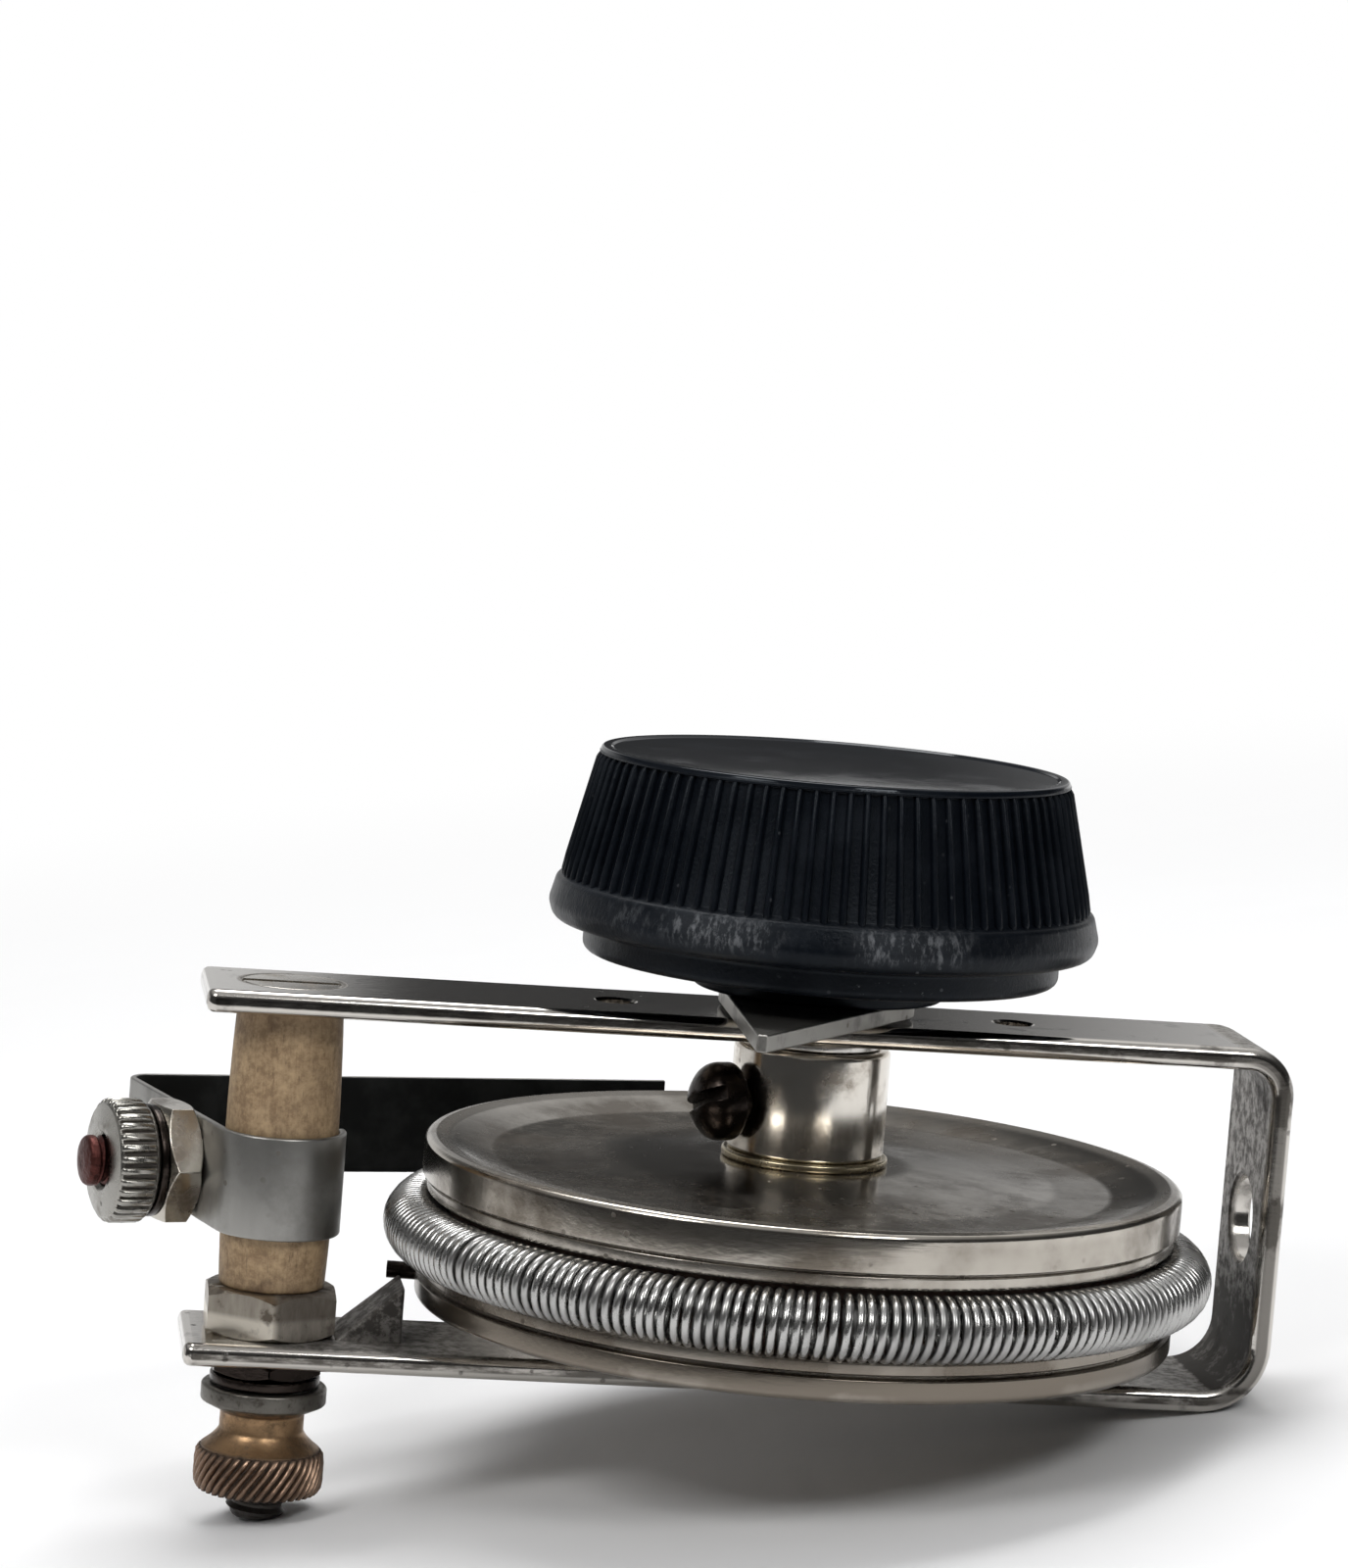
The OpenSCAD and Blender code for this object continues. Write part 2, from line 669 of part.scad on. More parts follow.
// A round-headed slotted screw: the shank points down and the dome up from z = 0
module round_head_screw(shank_d, shank_l, head_d, head_h) {
    dome_h = head_h * dome_share;
    dome_r = (head_d * head_d / 4 + dome_h * dome_h) / (2 * dome_h);
    difference() {
        union() {
            translate([0, 0, -shank_l])
                cylinder(h = shank_l + sink, d = shank_d);
            cylinder(h = head_h - dome_h, d = head_d);
            intersection() {
                translate([0, 0, head_h - dome_r])
                    sphere(dome_r);
                translate([0, 0, head_h - dome_h])
                    cylinder(h = dome_h + over, d = head_d);
            }
        }
        translate([-screw_slot_w / 2, -head_d, head_h - 2 * screw_slot_depth])
            cube([screw_slot_w, 2 * head_d, head_h]);
    }
}

module hub_screw() {
    head_from = hub_d / 2 + hub_screw_shank;
    color([0.2, 0.15, 0.12])
        translate([0, 0, hub_screw_z])
            outwards(hub_screw_angle)
                translate([0, 0, head_from])
                    rotate([0, 0, hub_slot_turn])
                        round_head_screw(hub_screw_d, head_from - shaft_d / 2 - fit_gap,
                                         hub_screw_head_d, hub_screw_head_h);
}

module upper_shell() {
    color([0.66, 0.63, 0.58])
        translate([0, 0, drum_top])
            mirror([0, 0, 1])
                rotate_extrude()
                    polygon(shell_section(upper_shell_h));
}

module lower_shell() {
    color([0.7, 0.67, 0.62])
        difference() {
            translate([0, 0, drum_bottom])
                rotate_extrude()
                    polygon(shell_section(lower_shell_h));
            translate([0, 0, stop_pin_z])
                outwards(stop_pin_angle)
                    cylinder(h = drum_r + over, r = stop_pin_d / 2 + fit_gap);
        }
}

module stop_pin() {
    pin_from = drum_r - rim_wall_t - stop_pin_root;
    color([0.22, 0.2, 0.18])
        translate([0, 0, stop_pin_z])
            outwards(stop_pin_angle)
                translate([0, 0, pin_from])
                    cylinder(h = drum_r + stop_pin_reach - pin_from, d = stop_pin_d);
}

module insulating_ring() {
    color([0.25, 0.17, 0.12])
        difference() {
            translate([0, 0, drum_bottom + dish_under])
                rotate_extrude()
                    translate([ring_in_r, 0])
                        square([ring_r - ring_in_r, drum_top - drum_bottom - 2 * dish_under]);
            for (side = [-1, 1])
                translate([0, 0, winding_z])
                    outwards(rivet_azimuth(side))
                        translate([0, 0, ring_r - end_rivet_depth - fit_gap])
                            cylinder(h = end_rivet_depth + over, r = end_rivet_d / 2 + fit_gap);
        }
}

module coil_end_rivets() {
    color([0.75, 0.58, 0.28])
        for (side = [-1, 1])
            translate([0, 0, winding_z])
                outwards(rivet_azimuth(side)) {
                    translate([0, 0, ring_r - end_rivet_depth])
                        cylinder(h = end_rivet_depth + end_rivet_head_h, d = end_rivet_d);
                    translate([0, 0, ring_r + fit_gap])
                        cylinder(h = end_rivet_head_h - fit_gap, d = end_rivet_head_d);
                }
}

module resistance_coil() {
    rings = len(wire_path);
    color([0.62, 0.65, 0.68])
        polyhedron(
            points = [for (i = [0:rings - 1]) each wire_ring(i)],
            faces = concat(
                [[for (k = [0:wire_sides - 1]) k]],
                [for (i = [0:rings - 2], k = [0:wire_sides - 1])
                    let (a = i * wire_sides + k, b = i * wire_sides + (k + 1) % wire_sides)
                        each [[a, a + wire_sides, b], [b, a + wire_sides, b + wire_sides]]],
                [[for (k = [wire_sides - 1:-1:0]) (rings - 1) * wire_sides + k]]
            )
        );
}

module knob() {
    hollow_r = knob_skirt_r - knob_wall;
    color([0.05, 0.05, 0.05])
        difference() {
            union() {
                translate([0, 0, rib_start_z])
                    linear_extrude(rib_top_z - rib_start_z, scale = knob_top_r / rib_start_r)
                        polygon(toothed(rib_count, rib_start_r, rib_start_r - rib_depth));
                rotate_extrude()
                    polygon(concat(
                        [[0, knob_skirt_z]],
                        [for (a = [-90:30:0]) [knob_skirt_r - skirt_round * (1 - cos(a)),
                                               knob_skirt_z + skirt_round * (1 + sin(a))]],
                        [[knob_skirt_r, rim_under_z]],
                        [for (a = [-90:15:0]) [knob_rim_r - knob_rim_round * (1 - cos(a)),
                                               knob_rim_z + knob_rim_round * sin(a)]],
                        [[band_top_r, rib_foot_z - band_round], [band_top_r - band_round, rib_foot_z],
                         [0, rib_foot_z]]
                    ));
                translate([0, 0, rib_top_z])
                    cylinder(h = knob_border, r1 = knob_top_r - border_step,
                             r2 = knob_top_r - border_slope * knob_border);
                translate([0, 0, boss_foot_z])
                    cylinder(h = knob_skirt_z + sink - boss_foot_z, r = boss_r - boss_step);
            }
            difference() {
                translate([0, 0, knob_skirt_z - over])
                    cylinder(h = bush_top - knob_skirt_z + over, r = hollow_r);
                cylinder(h = knob_top, r = boss_r);
            }
            translate([0, 0, boss_foot_z - over])
                cylinder(h = bush_top - boss_foot_z + over, r = bush_d / 2 + fit_gap);
            translate([0, 0, set_screw_z])
                outwards(90)
                    cylinder(h = knob_rim_r + over, r = set_screw_d / 2 + 2 * fit_gap);
        }
}

module knob_bush() {
    color([0.76, 0.6, 0.3])
        difference() {
            union() {
                translate([0, 0, pointer_top])
                    cylinder(h = bush_top - pointer_top, d = bush_d);
                translate([0, 0, pointer_bottom])
                    cylinder(h = pointer_t + sink, d = bush_spigot_d);
            }
            translate([0, 0, -over])
                cylinder(h = knob_top, r = shaft_d / 2 + fit_gap);
            translate([0, 0, set_screw_z])
                outwards(90)
                    cylinder(h = bush_d, r = set_screw_d / 2 + fit_gap);
        }
}

module knob_set_screw() {
    color([0.35, 0.33, 0.3])
        translate([0, 0, set_screw_z])
            outwards(90)
                translate([0, 0, set_screw_start])
                    difference() {
                        cylinder(h = set_screw_l, d = set_screw_d);
                        translate([-set_screw_slot_w / 2, -set_screw_d, set_screw_l - screw_slot_depth])
                            cube([set_screw_slot_w, 2 * set_screw_d, screw_slot_depth + over]);
                    }
}

module pointer() {
    tangent = acos(pointer_eye_r / pointer_l);
    eye_sweep = 360 - 2 * tangent;
    eye = [for (i = [0:pointer_eye_steps]) let (a = tangent + eye_sweep * i / pointer_eye_steps)
        pointer_eye_r * [cos(a), sin(a)]];
    color([0.5, 0.5, 0.49])
        translate([0, 0, pointer_bottom])
            rotate([0, 0, pointer_angle])
                difference() {
                    linear_extrude(pointer_t)
                        polygon(concat([[pointer_l, -pointer_tip_w / 2], [pointer_l, pointer_tip_w / 2]],
                                       eye));
                    translate([0, 0, -over])
                        cylinder(h = pointer_t + 2 * over, r = bush_spigot_d / 2 + fit_gap);
                }
}

module insulating_post() {
    side = [for (i = [0:post_steps]) let (s = i / post_steps)
        [post_r + post_bulge * (1 - pow(2 * s - 1, 2)), post_foot_z + post_h * s]];
    bore_r = post_screw_d / 2 + fit_gap;
    color([0.72, 0.56, 0.36])
        translate([-post_x, 0, 0])
            rotate_extrude()
                polygon(concat([[bore_r, post_foot_z]], side, [[bore_r, upper_arm_under]]));
}

module post_screw() {
    shank_r = post_screw_d / 2;
    head_r = post_head_d / 2;
    color([0.6, 0.58, 0.54])
        translate([-post_x, 0, 0])
            difference() {
                rotate_extrude()
                    polygon(concat(
                        [[0, 0], [head_r, 0], [shank_r, shank_r - head_r]],
                        [for (a = [0:30:90]) [shank_r - stud_round * (1 - cos(a)),
                                              post_screw_end + stud_round * (1 - sin(a))]],
                        [[0, post_screw_end]]
                    ));
                translate([-post_head_d, -screw_slot_w / 2, -screw_slot_depth])
                    cube([2 * post_head_d, screw_slot_w, screw_slot_depth + over]);
            }
}

// A hex nut from z = 0 upwards: one pair of flats faces along X, and its corners are turned off at both ends
module hex_nut(across_flats, h, bore_r) {
    corner_r = across_flats / sqrt(3);
    face_r = across_flats / 2 - nut_face_margin;
    blank_r = corner_r + blank_margin;
    rise = nut_slope * (blank_r - face_r);
    difference() {
        intersection() {
            rotate([0, 0, 30])
                cylinder(h = h, r = corner_r, $fn = 6);
            rotate_extrude()
                polygon([[0, 0], [face_r, 0], [blank_r, rise], [blank_r, h - rise], [face_r, h], [0, h]]);
        }
        translate([0, 0, -over])
            cylinder(h = h + 2 * over, r = bore_r);
    }
}

module post_hex_nut() {
    color([0.6, 0.53, 0.45])
        translate([-post_x, 0, lower_arm_top])
            hex_nut(post_nut_w, post_nut_h, post_screw_d / 2 + fit_gap);
}

module lower_lock_nut() {
    color([0.22, 0.2, 0.18])
        translate([-post_x, 0, lower_arm_under])
            mirror([0, 0, 1])
                hex_nut(lock_nut_w, lock_nut_h, post_screw_d / 2 + fit_gap);
}

module lower_washer() {
    color([0.3, 0.28, 0.25])
        translate([-post_x, 0, lower_washer_z])
            flat_washer(lower_washer_d, post_screw_d / 2 + run_gap, lower_washer_t);
}

module lower_thumb_nut() {
    flange_r = lower_flange_d / 2;
    neck_r = lower_neck_d / 2;
    knurl_r = lower_knurl_d / 2;
    shoulder_r = knurl_r - lower_knurl_shoulder;
    blank_r = knurl_r + blank_margin;
    chamfer = lower_knurl_chamfer + blank_margin;
    flare_z = lower_knurl_h + lower_knurl_collar;
    flare_h = lower_neck_l * lower_flare_share;
    flange_z = lower_knurl_h + lower_neck_l;
    flange_top = flange_z + lower_flange_t;
    color([0.55, 0.38, 0.22])
        translate([-post_x, 0, lower_nut_top - lower_nut_h])
            difference() {
                union() {
                    intersection() {
                        linear_extrude(lower_knurl_h, twist = lower_knurl_slant, slices = lower_knurl_slices)
                            polygon(toothed(lower_knurl_count, knurl_r, knurl_r - knurl_depth));
                        rotate_extrude()
                            polygon([[0, 0], [blank_r - chamfer, 0], [blank_r, chamfer],
                                     [blank_r, lower_knurl_h - chamfer], [blank_r - chamfer, lower_knurl_h],
                                     [0, lower_knurl_h]]);
                    }
                    rotate_extrude()
                        polygon(concat(
                            [[0, lower_knurl_h / 2], [shoulder_r, lower_knurl_h / 2]],
                            [for (i = [0:lower_flare_steps]) let (s = i / lower_flare_steps)
                                [neck_r + (shoulder_r - neck_r) * pow(1 - s, lower_flare_power),
                                 flare_z + flare_h * s]],
                            [[neck_r, flange_z], [flange_r, flange_z + lower_cone_h],
                             [flange_r, flange_top - lower_flange_round],
                             [flange_r - lower_flange_round, flange_top], [0, flange_top]]
                        ));
                }
                translate([0, 0, -over])
                    cylinder(h = lower_nut_h + 2 * over, r = post_screw_d / 2 + run_gap);
            }
}

module contact_spring() {
    color([0.42, 0.43, 0.44])
        difference() {
            translate([0, 0, spring_z - spring_w / 2])
                linear_extrude(spring_w)
                    polygon(spring_outline);
            on_ear(-over)
                cylinder(h = 2 * over, r = terminal_screw_d / 2 + fit_gap);
        }
}

// Places a shape on the terminal axis, outwards from the middle of the ear
module on_ear(from) {
    translate([ear_hole[0], ear_hole[1], spring_z])
        outwards(180 + ear_angle)
            translate([0, 0, from])
                children();
}

module terminal_screw() {
    shank_r = terminal_screw_d / 2;
    head_r = terminal_head_d / 2;
    stud_end = terminal_head_h + spring_t / 2 + terminal_screw_to;
    color([0.45, 0.22, 0.16])
        on_ear(-spring_t / 2 - terminal_head_h)
            rotate_extrude()
                polygon([[0, 0], [head_r - terminal_head_chamfer, 0], [head_r, terminal_head_chamfer],
                         [head_r, terminal_head_h], [shank_r, terminal_head_h],
                         [shank_r, stud_end - terminal_stud_chamfer],
                         [shank_r - terminal_stud_chamfer, stud_end], [0, stud_end]]);
}

module terminal_hex_nut() {
    color([0.68, 0.62, 0.52])
        on_ear(terminal_nut_from)
            hex_nut(terminal_nut_w, terminal_nut_h, terminal_screw_d / 2 + fit_gap);
}

module terminal_washer() {
    color([0.5, 0.48, 0.44])
        on_ear(terminal_washer_from)
            flat_washer(terminal_washer_d, terminal_screw_d / 2 + run_gap, terminal_washer_t);
}

module terminal_thumb_nut() {
    nut_r = thumb_nut_d / 2;
    blank_r = nut_r + blank_margin;
    dome_r = blank_r - thumb_shoulder_w;
    dome_z = thumb_nut_h - thumb_dome_h;
    color([0.7, 0.68, 0.64])
        on_ear(thumb_nut_from)
            difference() {
                intersection() {
                    linear_extrude(thumb_nut_h)
                        polygon(toothed(thumb_nut_count, nut_r, nut_r - knurl_depth));
                    rotate_extrude()
                        polygon([[0, 0], [nut_r - thumb_foot_chamfer, 0],
                                 [blank_r, thumb_foot_chamfer + blank_margin],
                                 [blank_r, dome_z - thumb_shoulder_h], [dome_r, dome_z],
                                 [dome_r - thumb_dome_w, thumb_nut_h], [0, thumb_nut_h]]);
                }
                translate([0, 0, -over])
                    cylinder(h = thumb_nut_h + 2 * over, r = terminal_screw_d / 2 + run_gap);
            }
}

bracket();
shaft();
friction_washer();
thrust_spacer();
hub();
hub_washer();
hub_screw();
upper_shell();
lower_shell();
insulating_ring();
resistance_coil();
coil_end_rivets();
stop_pin();
knob();
knob_bush();
knob_set_screw();
pointer();
insulating_post();
post_screw();
post_hex_nut();
lower_lock_nut();
lower_washer();
lower_thumb_nut();
contact_spring();
terminal_screw();
terminal_hex_nut();
terminal_washer();
terminal_thumb_nut();
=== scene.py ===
"""Dresses a panel rheostat: a bent nickel frame, a wire-wound drum, a ribbed knob and two screw terminals.

Lengths inside the classes are millimetres. A finished mesh is scaled to metres as it leaves the bench.
"""
import json
import logging
import math
from dataclasses import dataclass, field
from enum import Enum
from typing import Any, Mapping, Sequence

import bmesh
import bpy
from mathutils import Matrix, Vector

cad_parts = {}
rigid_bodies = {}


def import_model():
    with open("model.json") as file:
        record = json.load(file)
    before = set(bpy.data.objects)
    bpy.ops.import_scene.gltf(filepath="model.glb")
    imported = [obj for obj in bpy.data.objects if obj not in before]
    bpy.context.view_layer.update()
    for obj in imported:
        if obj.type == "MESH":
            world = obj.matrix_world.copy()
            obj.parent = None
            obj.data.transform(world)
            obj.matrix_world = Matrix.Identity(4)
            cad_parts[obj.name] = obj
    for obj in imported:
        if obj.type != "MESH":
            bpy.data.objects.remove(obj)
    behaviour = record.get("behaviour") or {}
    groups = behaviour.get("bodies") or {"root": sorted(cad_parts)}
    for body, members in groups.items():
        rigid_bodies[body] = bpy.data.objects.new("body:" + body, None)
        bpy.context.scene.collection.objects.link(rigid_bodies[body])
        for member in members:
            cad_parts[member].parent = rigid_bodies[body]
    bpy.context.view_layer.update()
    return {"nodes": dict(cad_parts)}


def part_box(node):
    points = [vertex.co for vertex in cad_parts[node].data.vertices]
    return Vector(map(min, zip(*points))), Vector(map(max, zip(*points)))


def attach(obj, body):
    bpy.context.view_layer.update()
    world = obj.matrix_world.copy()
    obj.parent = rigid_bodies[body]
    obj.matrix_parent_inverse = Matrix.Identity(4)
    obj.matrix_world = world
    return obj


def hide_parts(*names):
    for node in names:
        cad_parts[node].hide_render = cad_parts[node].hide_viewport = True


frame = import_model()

log = logging.getLogger("rheostat")

MM = 0.001
# In millimetres: clearances of a close and of a free fit, the post along X, the lower arm's upper face
CLOSE_FIT = 0.02
FREE_FIT = 0.05
POST_X = -36.3
ARM_TOP_Z = -24.2
# Also in millimetres: points nearer than this are one point
SAME_POINT = 1e-5
# A corner whose half angle is this near to a right angle, in radians, isn't rounded
NEARLY_STRAIGHT = 0.01
# The most that a round takes up of a side
SIDE_SHARE = 0.48
FULL_TURN = 2 * math.pi

Point = tuple[float, float]
Triple = tuple[float, float, float]
Corner = Triple
Colour = Triple
Section = tuple[Vector, Vector, Vector, Sequence[Point]]
Stop = tuple[Vector, float]
Settings = Mapping[str, Any]
Inputs = Mapping[int | str, Any]


class Join(Enum):
    """How one mesh meets another."""

    CUT = "DIFFERENCE"
    ADD = "UNION"
    KEEP = "INTERSECT"


class Body(Enum):
    """The bodies that pieces ride on."""

    FRAME = "frame"
    ROTOR = "rotor"
    LOWER_CLAMP = "lower_clamp"
    LOWER_NUT = "lower_nut"
    TERMINAL_CLAMP = "terminal_clamp"
    TERMINAL_NUT = "terminal_nut"


@dataclass(frozen=True)
class Box:
    """The box of a CAD node at rest, in millimetres."""

    low: Vector
    high: Vector

    @classmethod
    def of(cls, node: str) -> "Box":
        """Reads a node's box from the frame."""
        low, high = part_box(node)
        return cls(low / MM, high / MM)

    @property
    def centre(self) -> Vector:
        """Middle of the box."""
        return (self.low + self.high) / 2

    @property
    def size(self) -> Vector:
        """Lengths of the box along X, Y and Z."""
        return self.high - self.low

    @property
    def radius(self) -> float:
        """Half of the box's length along Y, which is the radius of a turned piece."""
        return self.size.y / 2


def boxed(node: str) -> Any:
    """A dataclass field that holds a CAD node's box."""
    return field(default_factory=lambda: Box.of(node))


def rounded(corners: Sequence[Corner], closed: bool = True, steps: int = 6) -> list[Point]:
    """Rounds each corner of an outline by its own radius.

    Args:
        corners: The corners, each as x, y and the radius wanted there.
        closed: Whether the last corner joins the first.
        steps: Straight steps in each arc.

    Returns:
        The points of the rounded outline.
    """
    points: list[Point] = []
    last = len(corners) - 1
    for index, (x, y, radius) in enumerate(corners):
        at_end = not closed and index in (0, last)
        if radius <= 0 or at_end:
            points.append((x, y))
            continue
        here = Vector((x, y))
        back = Vector(corners[index - 1][:2]) - here
        on = Vector(corners[(index + 1) % len(corners)][:2]) - here
        half = back.angle(on) / 2
        if half > math.pi / 2 - NEARLY_STRAIGHT:
            points.append((x, y))
            continue
        leg = min(radius / math.tan(half), SIDE_SHARE * back.length, SIDE_SHARE * on.length)
        reach = leg / math.cos(half)
        centre = here + (back.normalized() + on.normalized()).normalized() * reach
        start = here + back.normalized() * leg - centre
        end = here + on.normalized() * leg - centre
        sweep = start.angle_signed(end)
        for step in range(steps + 1):
            turned = Matrix.Rotation(-sweep * step / steps, 2) @ start + centre
            points.append((turned.x, turned.y))
    return points


def rectangle(width: float, height: float, corner_r: float, steps: int = 5) -> list[Point]:
    """A rectangle about the origin with rounded corners."""
    signs = ((1, -1), (1, 1), (-1, 1), (-1, -1))
    return rounded([(sx * width / 2, sy * height / 2, corner_r) for sx, sy in signs], steps=steps)


class Work:
    """A mesh on the bench, in millimetres, before it becomes a piece."""

    def __init__(self, mesh: bpy.types.Mesh) -> None:
        """Takes a mesh."""
        self.mesh = mesh

    @classmethod
    def from_bmesh(cls, shape: bmesh.types.BMesh) -> "Work":
        """Merges a shape's doubles, turns its faces outwards and takes it over.

        Args:
            shape: The shape, which is freed.

        Returns:
            The new work.
        """
        bmesh.ops.remove_doubles(shape, verts=shape.verts[:], dist=SAME_POINT)
        bmesh.ops.recalc_face_normals(shape, faces=shape.faces[:])
        mesh = bpy.data.meshes.new("work")
        shape.to_mesh(mesh)
        shape.free()
        return cls(mesh)

    @classmethod
    def turned(cls, profile: Sequence[Point], segments: int, ring: bool = False) -> "Work":
        """Turns a profile about Z, as on a lathe.

        Args:
            profile: Radius and height of each point.
            segments: Steps round the axis.
            ring: Whether the profile is a closed loop off the axis.

        Returns:
            The turned work.
        """
        shape = bmesh.new()
        rings: list[list[bmesh.types.BMVert]] = []
        for radius, height in profile:
            if radius < SAME_POINT:
                rings.append([shape.verts.new((0, 0, height))])
                continue
            angles = [FULL_TURN * step / segments for step in range(segments)]
            spots = [(radius * math.cos(a), radius * math.sin(a), height) for a in angles]
            rings.append([shape.verts.new(spot) for spot in spots])
        pairs = list(zip(rings, rings[1:]))
        if ring:
            pairs.append((rings[-1], rings[0]))
        for lower, upper in pairs:
            for step in range(segments):
                nxt = (step + 1) % segments
                corners = [lower[step % len(lower)], lower[nxt % len(lower)],
                           upper[nxt % len(upper)], upper[step % len(upper)]]
                unique = list(dict.fromkeys(corners))
                if len(unique) > 2:
                    shape.faces.new(unique)
        return cls.from_bmesh(shape)

    @classmethod
    def extruded(cls, outline: Sequence[Point], low: float, high: float) -> "Work":
        """Extrudes a closed outline along Z."""
        across, up = Vector((1, 0, 0)), Vector((0, 1, 0))
        return cls.swept([(Vector((0, 0, z)), across, up, outline) for z in (low, high)])

    @classmethod
    def swept(cls, stations: Sequence[Section]) -> "Work":
        """Joins sections along a path, with a face over each end.

        Args:
            stations: Each station's place, its two section axes and its outline.

        Returns:
            The swept work.
        """
        shape = bmesh.new()
        rings = []
        for place, across, up, outline in stations:
            rings.append([shape.verts.new(place + across * a + up * b) for a, b in outline])
        count = len(rings[0])
        for lower, upper in zip(rings, rings[1:]):
            for step in range(count):
                nxt = (step + 1) % count
                shape.faces.new((lower[step], lower[nxt], upper[nxt], upper[step]))
        shape.faces.new(rings[0])
        shape.faces.new(rings[-1])
        return cls.from_bmesh(shape)

    def placed(self, matrix: Matrix) -> "Work":
        """Moves the work."""
        self.mesh.transform(matrix)
        return self

    def with_modifier(self, kind: str, settings: Settings) -> "Work":
        """Applies one modifier to the work.

        Args:
            kind: Blender's name for the modifier.
            settings: Values of the modifier's properties.

        Returns:
            The work itself, with the result as its mesh.
        """
        holder = linked("holder", self.mesh)
        modifier = holder.modifiers.new(kind.lower(), kind)
        for name, value in settings.items():
            setattr(modifier, name, value)
        self.mesh = evaluated(holder)
        bpy.data.objects.remove(holder)
        return self

    def joined(self, tool: "Work", how: Join) -> "Work":
        """Cuts, adds or intersects with another work, which is used up.

        Args:
            tool: The other work.
            how: What to do with it.

        Returns:
            The work itself.
        """
        holder = linked("tool", tool.mesh)
        self.with_modifier("BOOLEAN", {"operation": how.value, "solver": "EXACT", "object": holder})
        bpy.data.objects.remove(holder)
        return self

    def bevelled(self, width: float, segments: int = 3, angle_deg: float = 32) -> "Work":
        """Rounds the edges that are sharper than an angle."""
        settings = {"width": width, "segments": segments, "limit_method": "ANGLE",
                    "angle_limit": math.radians(angle_deg), "use_clamp_overlap": True}
        return self.with_modifier("BEVEL", settings)

    def piece(self, name: str, body: Body, coat: "Coat", node: str, smooth_deg: float = 35,
              weighted: bool = False) -> bpy.types.Object:
        """Makes the work a finished piece of the object.

        Args:
            name: Name of the piece.
            body: Body that it rides on.
            coat: Its material and record slot.
            node: CAD node that it stands for.
            smooth_deg: Edges sharper than this stay sharp.
            weighted: Whether large faces set the shading at their borders.

        Returns:
            The piece.
        """
        for polygon in self.mesh.polygons:
            polygon.use_smooth = True
        self.mesh.set_sharp_from_angle(angle=math.radians(smooth_deg))
        if weighted:
            self.with_modifier("WEIGHTED_NORMAL", {"keep_sharp": True, "weight": 80})
        self.mesh.transform(Matrix.Scale(MM, 4))
        self.mesh.name = name
        if coat.material.name not in self.mesh.materials:
            self.mesh.materials.append(coat.material)
        made = linked(name, self.mesh)
        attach(made, body.value)
        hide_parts(node)
        log.info("%s rides %s, %d faces", name, body.value, len(self.mesh.polygons))
        return made


def linked(name: str, data: Any) -> bpy.types.Object:
    """Makes an object and puts it in the scene.

    Args:
        name: Name of the object.
        data: The mesh, lamp or camera that it holds.

    Returns:
        The object.
    """
    made = bpy.data.objects.new(name, data)
    bpy.context.scene.collection.objects.link(made)
    return made


def evaluated(holder: bpy.types.Object) -> bpy.types.Mesh:
    """Turns an object with modifiers into a plain mesh."""
    depsgraph = bpy.context.evaluated_depsgraph_get()
    return bpy.data.meshes.new_from_object(holder.evaluated_get(depsgraph), depsgraph=depsgraph)


class Value:
    """A number, colour or geometry that flows through a node tree, with arithmetic on numbers."""

    def __init__(self, graph: "Graph", socket: bpy.types.NodeSocket) -> None:
        """Wraps an output socket."""
        self.graph = graph
        self.socket = socket

    def math(self, operation: str, *others: Any) -> "Value":
        """Adds a Math node that starts from this value."""
        operands = dict(enumerate((self, *others)))
        return self.graph.value("ShaderNodeMath", {"operation": operation}, operands)

    def __add__(self, other: Any) -> "Value":
        """This value plus another."""
        return self.math("ADD", other)

    __radd__ = __add__

    def __sub__(self, other: Any) -> "Value":
        """This value less another."""
        return self.math("SUBTRACT", other)

    def __rsub__(self, other: float) -> "Value":
        """A number less this value."""
        return self.graph.value("ShaderNodeMath", {"operation": "SUBTRACT"}, {0: other, 1: self})

    def __mul__(self, other: Any) -> "Value":
        """This value times another."""
        return self.math("MULTIPLY", other)

    __rmul__ = __mul__

    def __truediv__(self, other: Any) -> "Value":
        """This value over another."""
        return self.math("DIVIDE", other)

    def __rtruediv__(self, other: float) -> "Value":
        """A number over this value."""
        return self.graph.value("ShaderNodeMath", {"operation": "DIVIDE"}, {0: other, 1: self})

    def hypotenuse(self, other: "Value") -> "Value":
        """Length of a flat vector with this value and another as its sides."""
        return (self * self + other * other).math("SQRT")


